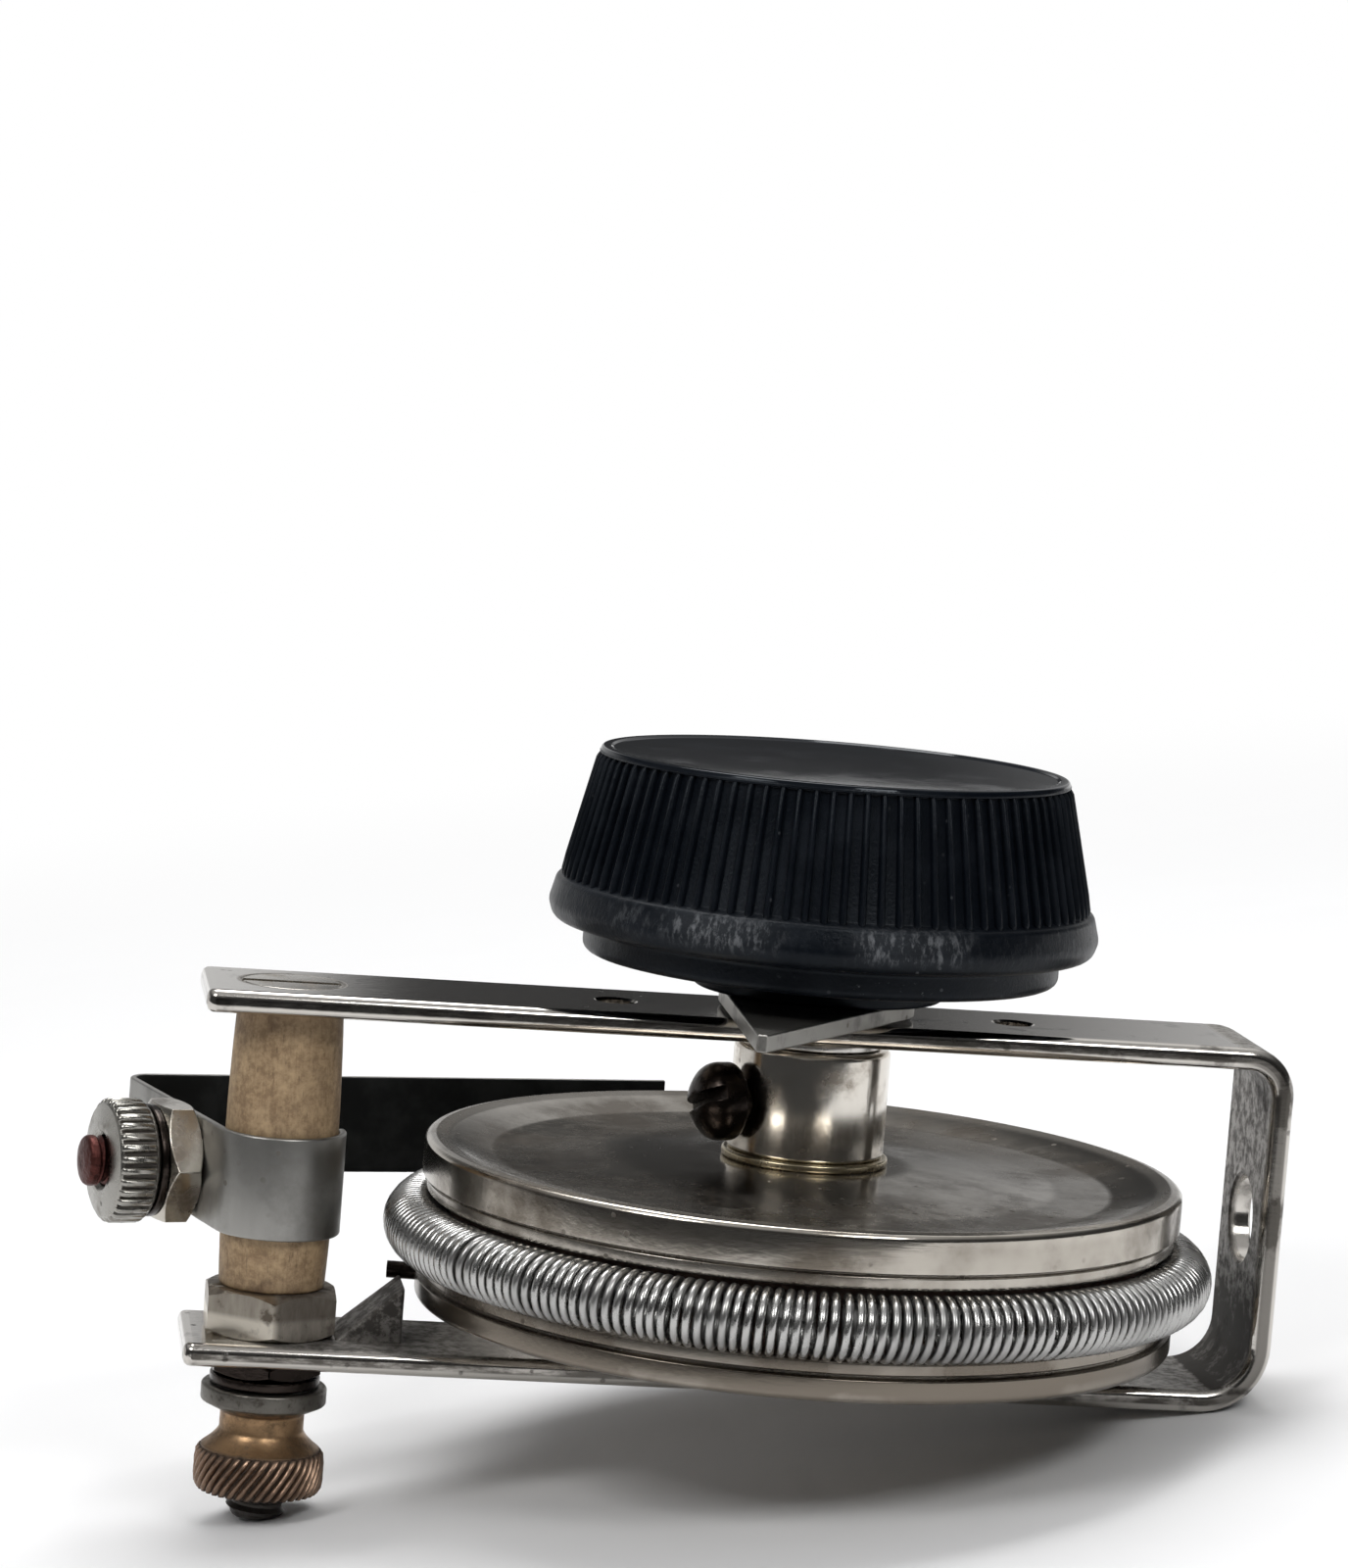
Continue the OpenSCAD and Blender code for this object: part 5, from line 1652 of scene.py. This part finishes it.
@dataclass
class Knob(Assembly):
    """The black control knob with its finger ribs, brass bush and set screw."""

    box: Box = boxed("knob")
    bush: Box = boxed("knob_bush")
    top_r: float = 16.45
    rim_r: float = 19.05
    rim_z: float = 6.4
    skirt_r: float = 16.5
    band: float = 1.9
    skirt_z: float = 3.3
    hollow_r: float = 14.3
    boss_r: float = 9.0
    boss_foot_r: float = 8.7
    bush_r: float = 6.0
    spigot_r: float = 4.4
    shaft_r: float = 3.195
    pointer_top: float = 1.45
    rib_count: int = 90
    rib_depth: float = 0.5
    rib_inset: float = 0.12
    rib_fill: float = 0.40
    rim_drop: float = 1.05
    border: float = 0.5

    @property
    def slope(self) -> float:
        """Radius lost for each millimetre of height along the side."""
        return (self.rim_r - self.top_r) / (self.box.high.z - self.rim_z)

    def side_r(self, z: float) -> float:
        """Radius of the ribs' crests at a height."""
        return self.rim_r - self.slope * (z - self.rim_z)

    def rib(self) -> Work:
        """One finger rib at azimuth 0, round-backed, with soft ends.

        Returns:
            The rib.
        """
        foot = self.rim_z + self.band - 0.35
        head = self.box.high.z - self.border + 0.1
        shares = ((0.0, 0.0), (0.03, 0.55), (0.08, 0.9), (0.2, 1.0), (0.6, 1.0), (0.95, 1.0), (1.0, 0.6))
        stations = []
        for share, full in shares:
            z = foot + (head - foot) * share
            crest = self.side_r(z) - self.rib_inset
            half = self.rib_fill * math.pi * crest / self.rib_count
            depth = self.rib_depth * full
            base = crest - self.rib_depth - 0.05
            flank = [(base - 0.1, half), (base + depth * 0.55, half * 0.94),
                     (base + depth * 0.9, half * 0.6)]
            outline = [(radius, -side) for radius, side in flank]
            outline += [(base + depth + 0.03, 0.0)] + flank[::-1]
            stations.append((Vector((0, 0, z)), Vector((1, 0, 0)), Vector((0, 1, 0)), outline))
        return Work.swept(stations)

    def body(self) -> Work:
        """The knob without its ribs, hollow below and with a boss for the bush.

        Returns:
            The body.
        """
        bottom = self.skirt_z
        seat = self.box.low.z
        top = self.box.high.z
        roof = self.bush.high.z
        band_z = self.rim_z + self.band
        root = self.rib_depth + self.rib_inset
        under = self.rim_z - self.rim_drop
        seat_r = self.bush_r + CLOSE_FIT
        corners = [(0, roof, 0), (seat_r, roof, 0.1), (seat_r, seat, 0.1), (self.boss_foot_r, seat, 0.3),
                   (self.boss_foot_r, bottom, 0.05), (self.boss_r, bottom, 0.1), (self.boss_r, roof, 0.6),
                   (self.hollow_r, roof, 0.8), (self.hollow_r, bottom, 0.4), (self.skirt_r, bottom, 0.6),
                   (self.skirt_r, under - 0.3, 0.4), (self.skirt_r + 0.35, under, 0.25),
                   (self.rim_r - 0.4, under, 0.9), (self.rim_r + 0.02, self.rim_z + 0.2, 1.1),
                   (self.side_r(band_z) + 0.02, band_z, 0.5),
                   (self.side_r(band_z + 0.3) - root, band_z + 0.3, 0.2),
                   (self.side_r(top - self.border) - root, top - self.border, 0.1),
                   (self.top_r - 0.08, top - self.border + 0.02, 0.12), (self.top_r - 0.3, top, 0.22),
                   (self.top_r - 0.9, top, 0.1), (self.top_r - 1.1, top - 0.12, 0.1), (0, top - 0.12, 0)]
        return Work.turned(rounded(corners, closed=False, steps=5), segments=180)

    def build(self) -> None:
        """Moulds the knob, ribs it and turns its bush."""
        knob = self.trees.teeth.set_round(self.body(), self.rib(), self.rib_count, self.coats.resin)
        knob.piece("control_knob", Body.ROTOR, self.coats.resin, "knob", smooth_deg=48)
        corners = [(self.shaft_r, self.bush.low.z, 0.15), (self.spigot_r, self.bush.low.z, 0.15),
                   (self.spigot_r, self.pointer_top, 0.03), (self.bush_r, self.pointer_top, 0.25),
                   (self.bush_r, self.bush.high.z, 0.2), (self.shaft_r, self.bush.high.z, 0.15)]
        bush = Work.turned(rounded(corners), segments=96, ring=True)
        bush.piece("knob_brass_bush", Body.ROTOR, self.coats.brass, "knob_bush")
        dress_node("knob_set_screw", self.coats.dark_steel)


@dataclass
class Pointer(Assembly):
    """The flat arrow under the knob."""

    box: Box = boxed("pointer")
    length: float = 22.7
    eye_r: float = 6.8
    tip_w: float = 0.7
    hole_r: float = 4.42
    angle_deg: float = 251.5
    eye_steps: int = 60

    def build(self) -> None:
        """Cuts the arrow and rounds its edges."""
        tangent = math.acos(self.eye_r / self.length)
        sweep = FULL_TURN - 2 * tangent
        angles = [tangent + sweep * step / self.eye_steps for step in range(self.eye_steps + 1)]
        outline = [(self.length, -self.tip_w / 2), (self.length, self.tip_w / 2)]
        outline += [(self.eye_r * math.cos(a), self.eye_r * math.sin(a)) for a in angles]
        arrow = Work.extruded(outline, self.box.low.z, self.box.high.z)
        hole = [(0, -2), (self.hole_r, -2), (self.hole_r, 4), (0, 4)]
        arrow.joined(Work.turned(hole, segments=64), Join.CUT).bevelled(0.14)
        arrow.placed(Matrix.Rotation(math.radians(self.angle_deg), 4, "Z"))
        arrow.piece("pointer_arrow", Body.ROTOR, self.coats.pointer, "pointer", weighted=True)


@dataclass
class Post(Assembly):
    """The wooden column with its long screw and the nuts above and below the lower arm."""

    column: Box = boxed("insulating_post")
    screw: Box = boxed("post_screw")
    nut: Box = boxed("post_hex_nut")
    lock: Box = boxed("lower_lock_nut")
    end_r: float = 3.62
    swell: float = 0.25
    column_steps: int = 24
    column_edge_r: float = 0.25
    bore_r: float = 2.105
    shank_r: float = 2.085
    head_r: float = 3.45
    slot_w: float = 0.9
    slot_depth: float = 0.6
    nut_flats: float = 8.73
    lock_flats: float = 7.3
    thread_depth: float = 0.3
    pitch: float = 0.79

    def build(self) -> None:
        """Turns the column and makes its fasteners."""
        axis = Matrix.Translation((self.column.centre.x, 0, 0))
        low, high = self.column.low.z, self.column.high.z
        side = []
        for step in range(self.column_steps + 1):
            share = step / self.column_steps
            radius = self.end_r + self.swell * (1 - (2 * share - 1) ** 2)
            side.append((radius, low + (high - low) * share, 0.0))
        side[0] = (side[0][0], low, self.column_edge_r)
        side[-1] = (side[-1][0], high, self.column_edge_r)
        corners = [(self.bore_r, low, 0)] + side + [(self.bore_r, high, 0)]
        column = Work.turned(rounded(corners), segments=96, ring=True).placed(axis)
        column.piece("post_column", Body.FRAME, self.coats.wood, "insulating_post")
        screw = self.long_screw().placed(axis)
        screw.piece("post_long_screw", Body.FRAME, self.coats.screw, "post_screw")
        nut = hex_nut(self.nut_flats, self.nut.size.z, self.bore_r)
        nut.placed(Matrix.Translation((0, 0, self.nut.low.z))).placed(axis)
        nut.piece("post_nut", Body.FRAME, self.coats.nut, "post_hex_nut", weighted=True)
        lock = hex_nut(self.lock_flats, self.lock.size.z, self.bore_r)
        lock.placed(Matrix.Rotation(math.pi, 4, "X"))
        lock.placed(Matrix.Translation((0, 0, self.lock.high.z))).placed(axis)
        lock.piece("post_lock_nut", Body.FRAME, self.coats.dark_steel, "lower_lock_nut", weighted=True)

    def long_screw(self) -> Work:
        """The screw through post and arms, with a flush slotted head and a threaded end.

        Returns:
            The screw on its own axis.
        """
        end = self.screw.low.z
        root = self.shank_r - self.thread_depth
        thread_top = self.lock.high.z - 0.4
        cone = self.head_r - self.shank_r
        corners = [(0, end, 0), (root, end, 0.5), (root, thread_top, 0.1),
                   (self.shank_r, thread_top + 0.3, 0.1), (self.shank_r, -cone, 0),
                   (self.head_r, -0.12, 0.08), (self.head_r - 0.1, 0, 0.06), (0, 0, 0)]
        core = Work.turned(rounded(corners, closed=False), segments=72)
        slot = Work.extruded(rectangle(4 * self.head_r, self.slot_w, 0.1), -self.slot_depth, 1)
        core.joined(slot, Join.CUT)
        length = thread_top - end - 0.7
        return self.trees.thread.wound(core, root, self.thread_depth, self.pitch, end + 0.45, length,
                                       self.coats.screw)


def towards(angle_deg: float) -> Vector:
    """Unit vector in plan along an angle."""
    angle = math.radians(angle_deg)
    return Vector((math.cos(angle), math.sin(angle)))


@dataclass
class ContactSpring(Assembly):
    """The leaf-spring strip: round the post, out along the ear and back along the rear run."""

    box: Box = boxed("contact_spring")
    wrap_r: float = 4.17
    wrap_from_deg: float = 10.0
    ear_deg: float = 17.0
    run_deg: float = 14.0
    run_distance: float = 29.4
    bend_r: float = 1.6
    tip_l: float = 1.2
    thickness: float = 0.5
    edge_r: float = 0.16
    wrap_steps: int = 40
    bend_steps: int = 18
    ear_from_y: float = 6.0
    wrap_clearance: float = 0.4
    least_facing: float = 0.6

    def route(self) -> list[Stop]:
        """The strip's path in plan, with its heading in degrees.

        Returns:
            The stops of the path.
        """
        ear_dir = towards(90 + self.ear_deg)
        ear_out = -towards(self.ear_deg)
        run_dir = towards(self.run_deg)
        run_normal = Vector((-run_dir.y, run_dir.x))
        post = Vector((POST_X, 0))
        start = post + self.wrap_r * ear_out
        ear_l = (self.run_distance - start.dot(run_normal)) / ear_dir.dot(run_normal)
        turn = math.radians(90 + self.ear_deg - self.run_deg)
        bend_start = start + ear_dir * (ear_l - self.bend_r * math.tan(turn / 2))
        stops = self.arc(post, self.wrap_r, self.wrap_from_deg, self.ear_deg - 180, self.wrap_steps)
        bend_centre = bend_start - self.bend_r * ear_out
        stops += self.arc(bend_centre, self.bend_r, 180 + self.ear_deg, self.run_deg + 90, self.bend_steps)
        end = run_normal * self.run_distance + run_dir * self.tip_l
        corner = stops[-1][0]
        stops += [(corner.lerp(end, share), self.run_deg) for share in (0.25, 0.5, 0.75, 1.0)]
        return stops

    @staticmethod
    def arc(centre: Vector, radius: float, start_deg: float, end_deg: float, steps: int) -> list[Stop]:
        """Stops along an arc that is run clockwise."""
        angles = [start_deg + (end_deg - start_deg) * step / steps for step in range(steps + 1)]
        return [(centre + radius * towards(angle), angle - 90) for angle in angles]

    def build(self) -> None:
        """Bends the strip, and darkens the face that lies inside its bends."""
        outline = rectangle(self.thickness, self.box.size.z, self.edge_r, steps=3)
        route = self.route()
        stations = []
        for spot, heading in route:
            left = towards(heading + 90).to_3d()
            stations.append((Vector((spot.x, spot.y, self.box.centre.z)), left, Vector((0, 0, 1)), outline))
        strip = Work.swept(stations)
        made = strip.piece("contact_leaf", Body.FRAME, self.coats.spring, "contact_spring", smooth_deg=40)
        made.data.materials.append(self.coats.spring_inside.material)
        for polygon in made.data.polygons:
            spot = polygon.center.to_2d() / MM
            nearest, heading = min(route, key=lambda stop: (stop[0] - spot).length)
            right = towards(heading - 90)
            reach = (nearest - Vector((POST_X, 0))).length
            past_ear = nearest.y > self.ear_from_y or reach > self.wrap_r + self.wrap_clearance
            if past_ear and polygon.normal.to_2d().dot(right) > self.least_facing:
                polygon.material_index = 1


@dataclass
class LowerTerminal(Assembly):
    """The spool-shaped thumb nut under the lower arm, with its loose clamp washer."""

    washer: Box = boxed("lower_washer")
    nut: Box = boxed("lower_thumb_nut")
    bore_r: float = 2.135
    flange_r: float = 4.325
    flange_t: float = 1.9
    cone_h: float = 0.7
    neck_r: float = 2.9
    flare_h: float = 1.3
    flare_power: float = 1.5
    shoulder_r: float = 4.075
    knurl_h: float = 2.95
    flare_steps: int = 12
    tooth: Tooth = Tooth(
        crest_r=4.475, depth=0.3, count=40, fill=0.42, flank=0.75, crown=0.3, slant_deg=-28.0,
        ends=((0.02, 0.1), (0.14, 0.8), (0.3, 1.0), (0.5, 1.0), (0.7, 1.0), (0.9, 0.8), (0.99, 0.2)))

    def build(self) -> None:
        """Turns the washer and the spool, and knurls the spool."""
        axis = Matrix.Translation((self.nut.centre.x, 0, 0))
        washer = turned_ring(self.bore_r, self.washer.radius, self.washer.low.z, self.washer.high.z, 0.15)
        washer.placed(axis)
        washer.piece("lower_clamp_washer", Body.LOWER_CLAMP, self.coats.dark_steel, "lower_washer")
        low, high = self.nut.low.z, self.nut.high.z
        knurl_top = low + self.knurl_h
        root = self.tooth.root_r
        under = high - self.flange_t
        corners = [(self.bore_r, low, 0.1), (root - 0.35, low, 0.25), (root, low + 0.45, 0.3),
                   (root, knurl_top - 0.2, 0.1)]
        for step in range(self.flare_steps + 1):
            share = step / self.flare_steps
            flare = self.neck_r + (self.shoulder_r - self.neck_r) * (1 - share) ** self.flare_power
            corners.append((flare, knurl_top + 0.1 + self.flare_h * share, 0.0))
        corners += [(self.neck_r, under, 0.35), (self.flange_r, under + self.cone_h, 0.2),
                    (self.flange_r, high, 0.25), (self.bore_r + 1.5, high - 0.02, 0.1),
                    (self.bore_r, high - 0.3, 0.1)]
        spool = Work.turned(rounded(corners), segments=120, ring=True)
        tooth = self.tooth.between(low, self.knurl_h)
        coat = self.coats.spool
        nut = self.trees.teeth.set_round(spool, tooth, self.tooth.count, coat).placed(axis)
        nut.piece("lower_spool_nut", Body.LOWER_NUT, coat, "lower_thumb_nut", smooth_deg=42)


@dataclass(frozen=True)
class Ear:
    """The ear of the spring, which carries the upper terminal."""

    spring: Box = boxed("contact_spring")
    x: float = -42.276
    y: float = 5.284
    angle_deg: float = 17.0

    @property
    def axis(self) -> Matrix:
        """Puts +Z outwards along the terminal's axis, from the middle of the ear."""
        turn = outwards(180 + self.angle_deg, self.spring.centre.z)
        return Matrix.Translation((self.x, self.y, 0)) @ turn


@dataclass
class UpperTerminal(Assembly):
    """The stack on the spring's ear: screw, hex nut, loose washer and knurled thumb nut."""

    ear: Ear = field(default_factory=Ear)
    strip_half: float = 0.25
    shank_r: float = 1.75
    head_r: float = 2.9
    head_h: float = 1.6
    nut_flats: float = 7.9
    nut_h: float = 2.4
    washer_r: float = 3.9
    washer_t: float = 0.5
    thumb_h: float = 3.2
    stud_reach: float = 1.3
    face_gap: float = 0.05
    thread_depth: float = 0.26
    pitch: float = 0.79
    tooth: Tooth = Tooth(
        crest_r=4.3, depth=0.32, count=32, fill=0.40, flank=0.8, crown=0.45,
        ends=((0.09, 0.0), (0.14, 0.7), (0.2, 1.0), (0.5, 1.0), (0.80, 1.0), (0.86, 0.75), (0.91, 0.1)))

    @property
    def washer_from(self) -> float:
        """Where the washer starts along the axis."""
        return self.strip_half + self.nut_h + self.face_gap

    @property
    def thumb_from(self) -> float:
        """Where the thumb nut starts along the axis."""
        return self.washer_from + self.washer_t + self.face_gap

    def build(self) -> None:
        """Makes the stack."""
        stud = self.stud().placed(self.ear.axis)
        stud.piece("terminal_stud", Body.FRAME, self.coats.stud, "terminal_screw")
        nut = hex_nut(self.nut_flats, self.nut_h, self.shank_r + CLOSE_FIT)
        nut.placed(Matrix.Translation((0, 0, self.strip_half))).placed(self.ear.axis)
        nut.piece("terminal_nut", Body.FRAME, self.coats.ear_nut, "terminal_hex_nut", weighted=True)
        bore = self.shank_r + FREE_FIT
        seat = self.washer_from
        washer = turned_ring(bore, self.washer_r, seat, seat + self.washer_t, 0.12).placed(self.ear.axis)
        washer.piece("terminal_clamp_washer", Body.TERMINAL_CLAMP, self.coats.dark_steel,
                     "terminal_washer")
        low, high = self.thumb_from, self.thumb_from + self.thumb_h
        root = self.tooth.root_r
        corners = [(bore, low, 0.1), (root - 0.25, low, 0.2), (root + 0.12, low + 0.32, 0.1),
                   (root, low + 0.42, 0.05), (root, high - 0.46, 0.05), (root + 0.16, high - 0.4, 0.1),
                   (root - 0.05, high - 0.22, 0.15), (root - 1.5, high, 1.2), (bore + 0.3, high, 0.15),
                   (bore, high - 0.3, 0.1)]
        blank = Work.turned(rounded(corners), segments=112, ring=True)
        tooth = self.tooth.between(self.thumb_from, self.thumb_h)
        coat = self.coats.thumb
        thumb = self.trees.teeth.set_round(blank, tooth, self.tooth.count, coat).placed(self.ear.axis)
        thumb.piece("terminal_knurled_nut", Body.TERMINAL_NUT, coat, "terminal_thumb_nut", smooth_deg=42)

    def stud(self) -> Work:
        """The screw of the stack, threaded outside the strip.

        Returns:
            The screw on its own axis.
        """
        start = -self.strip_half - self.head_h
        end = self.thumb_from + self.thumb_h + self.stud_reach
        root = self.shank_r - self.thread_depth
        corners = [(0, start, 0), (self.head_r, start, 0.6), (self.head_r, -self.strip_half, 0.1),
                   (self.shank_r, -self.strip_half, 0.05), (self.shank_r, self.strip_half, 0.1),
                   (root, self.strip_half + 0.25, 0.1), (root, end - 1.0, 0.05),
                   (self.shank_r, end - 0.85, 0.2), (self.shank_r, end - 0.2, 0.6),
                   (self.shank_r * 0.4, end, 0.5), (0, end, 0)]
        core = Work.turned(rounded(corners, closed=False), segments=64)
        length = end - self.strip_half - 0.75
        return self.trees.thread.wound(core, root, self.thread_depth, self.pitch, self.strip_half + 0.3,
                                       length, self.coats.stud)


def dress_node(node: str, coat: Coat) -> None:
    """Gives a CAD node that stays visible its finish.

    Args:
        node: Name of the node.
        coat: The finish.
    """
    part = frame["nodes"][node]
    if not part.material_slots:
        part.data.materials.append(coat.material)
    for slot in part.material_slots:
        slot.material = coat.material
    log.info("%s keeps its CAD mesh and takes %s", node, coat.slot)


@dataclass(frozen=True)
class Lamp:
    """A soft square lamp; its place, its aim and its size are in metres, its power is in watts."""

    name: str
    place: Triple
    aim: Triple
    size: float
    power: float

    def hang(self) -> None:
        """Hangs the lamp and turns it to its aim."""
        data = bpy.data.lights.new(self.name, "AREA")
        data.size = self.size
        data.energy = self.power
        made = linked(self.name, data)
        made.location = self.place
        made.rotation_mode = "QUATERNION"
        made.rotation_quaternion = (Vector(self.aim) - Vector(self.place)).to_track_quat("-Z", "Y")


@dataclass
class Studio:
    """Camera, floor, room and soft light."""

    stud: Box = boxed("post_screw")
    bracket: Box = boxed("bracket")
    bend_r: float = Bracket.lower_bend_r
    focal: float = 110.76
    sensor_w: float = 36.0
    floor_gap: float = 0.1
    fade: Point = (150.0, 420.0)
    # In metres, apart from the camera's turn, which is a rotation vector
    clip: Point = (0.01, 20.0)
    eye: Triple = (-0.0586, -0.3262, 0.0480)
    turn: Triple = (1.6718, -0.0554, 0.1683)
    floor_half: float = 2.5
    floor_front: float = 0.12
    # Colours, how strongly the room glows, and the directions between which each glow rises
    paper: Colour = (0.86, 0.86, 0.865)
    white: Colour = (1.0, 1.0, 1.0)
    view_side: float = 0.17
    room_glow: float = 0.05
    ceiling_glow: float = 0.45
    left_glow: float = 0.6
    right_glow: float = 0.52
    above: Point = (0.40, 0.90)
    behind: Point = (0.0, 0.4)
    left_edge: Point = (0.055, 0.088)
    left_top: Point = (0.5, 0.25)
    right_edge: Point = (0.03, 0.14)
    right_end: Point = (0.75, 0.5)
    horizon: Point = (0.02, 0.0)
    lamps: tuple[Lamp, ...] = (Lamp("lamp_above", (-0.08, 0.22, 0.56), (0.0, 0.0, -0.02), 0.34, 2.7),
                               Lamp("lamp_left", (-0.44, -0.30, 0.40), (0.0, 0.0, -0.01), 0.20, 1.2),
                               Lamp("lamp_right", (0.12, -0.46, 0.42), (0.0, 0.0, -0.01), 0.18, 1.1))

    def camera(self) -> None:
        """Sets the camera where the photograph was taken from."""
        data = bpy.data.cameras.new("camera")
        data.lens = self.focal
        data.sensor_width = self.sensor_w
        data.clip_start, data.clip_end = self.clip
        made = linked("camera", data)
        axis = Vector(self.turn)
        right, down, ahead = Matrix.Rotation(axis.length, 3, axis.normalized())
        aim = Matrix((right, -down, -ahead)).transposed().to_4x4()
        made.matrix_world = Matrix.Translation(self.eye) @ aim
        bpy.context.scene.camera = made

    @property
    def slope(self) -> float:
        """Angle of the floor, on which the stud's end and the strip's lower bend stand.

        Returns:
            The angle in radians.
        """
        stud = Vector((self.stud.centre.x, self.stud.low.z))
        centre = Vector((self.bracket.high.x - self.bend_r, self.bracket.low.z + self.bend_r))
        reach = centre - stud
        return math.atan2(reach.y, reach.x) - math.asin(self.bend_r / reach.length)

    @staticmethod
    def rays(graph: Graph) -> list[Value]:
        """Masks for what the camera sees directly, in metal and through glass.

        Args:
            graph: The tree that gets the masks.

        Returns:
            The three masks.
        """
        path = graph.node("ShaderNodeLightPath")
        kinds = ("Is Camera Ray", "Is Glossy Ray", "Is Transmission Ray")
        return [Value(graph, path.outputs[kind]) for kind in kinds]

    def floor(self) -> None:
        """Lays the pale paper, which fades to white away from the object."""
        half = self.floor_half
        front = -self.floor_front
        mesh = bpy.data.meshes.new("floor")
        corners = ((-half, front, 0), (half, front, 0), (half, half, 0), (-half, half, 0))
        mesh.from_pydata(corners, [], [(0, 1, 2, 3)])
        place = Matrix.Translation((self.stud.centre.x * MM, 0, (self.stud.low.z - self.floor_gap) * MM))
        mesh.transform(place @ Matrix.Rotation(-self.slope, 4, "Y"))
        surface = Surface("floor_paper")
        cloud = surface.noise(60.0, detail=3)
        shade = tuple(channel * 0.985 for channel in self.paper)
        colour = surface.blend(surface.ramp(cloud, 0.4, 0.6), self.paper, shade)
        mesh.materials.append(surface.finished(colour, 0.6 + cloud * 0.2, 0.0))
        glow = surface.value("ShaderNodeEmission", None, {"Color": self.white, "Strength": 1.0})
        far = surface.ramp(surface.x.hypotenuse(surface.y), *self.fade)
        paper = Value(surface, surface.shader.outputs[0])
        camera, glossy, transmission = self.rays(surface)
        seen = (camera + glossy + transmission).math("MINIMUM", 1.0)
        mixed = surface.value("ShaderNodeMixShader", None, {0: far * seen, 1: paper, 2: glow})
        surface.tree.links.new(mixed.socket, surface.output.inputs["Surface"])
        made = linked("floor", mesh)

    def light(self) -> None:
        """Sets three lamps in a dim room that is pale above and behind, and white to the camera."""
        world = bpy.data.worlds.new("room")
        bpy.context.scene.world = world
        world.use_nodes = True
        graph = Graph(world.node_tree)
        graph.tree.nodes.clear()
        heading = graph.value("ShaderNodeTexCoord", output="Generated")
        tilt = self.slope
        axes = ((-math.sin(tilt), 0.0, math.cos(tilt)), (math.cos(tilt), 0.0, math.sin(tilt)),
                (0.0, 1.0, 0.0))
        up, side, back = (graph.vector("DOT_PRODUCT", heading, axis, output="Value") for axis in axes)
        ceiling = graph.ramp(up, *self.above)
        behind = graph.ramp(back, *self.behind)
        left = graph.ramp(self.view_side - side, *self.left_edge) * graph.ramp(up, *self.left_top) * behind
        right = graph.ramp(side - self.view_side, *self.right_edge) * graph.ramp(side, *self.right_end)
        right = right * behind
        room = self.room_glow + ceiling * self.ceiling_glow
        room = room + left * self.left_glow + right * self.right_glow
        horizon = graph.ramp(up, *self.horizon) * behind
        camera, glossy, transmission = self.rays(graph)
        white = (camera + (glossy + transmission) * horizon).math("MINIMUM", 1.0)
        strength = room * (1 - white) + white
        sky = graph.value("ShaderNodeBackground", None, {"Color": self.white, "Strength": strength})
        graph.node("ShaderNodeOutputWorld", None, {"Surface": sky})
        for lamp in self.lamps:
            lamp.hang()

    def build(self) -> None:
        """Sets up the whole studio."""
        self.camera()
        self.floor()
        self.light()
        bpy.context.scene.view_settings.view_transform = "Standard"


def main() -> None:
    """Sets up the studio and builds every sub-assembly in order."""
    logging.basicConfig(level=logging.INFO, format="%(name)s: %(message)s")
    Studio().build()
    coats = Finishes()
    trees = Trees()
    assemblies = (Bracket, Drum, Winding, Hub, Knob, Pointer, Post, ContactSpring, LowerTerminal,
                  UpperTerminal)
    for assembly in assemblies:
        assembly(coats, trees).build()


if __name__ == "__main__":
    main()
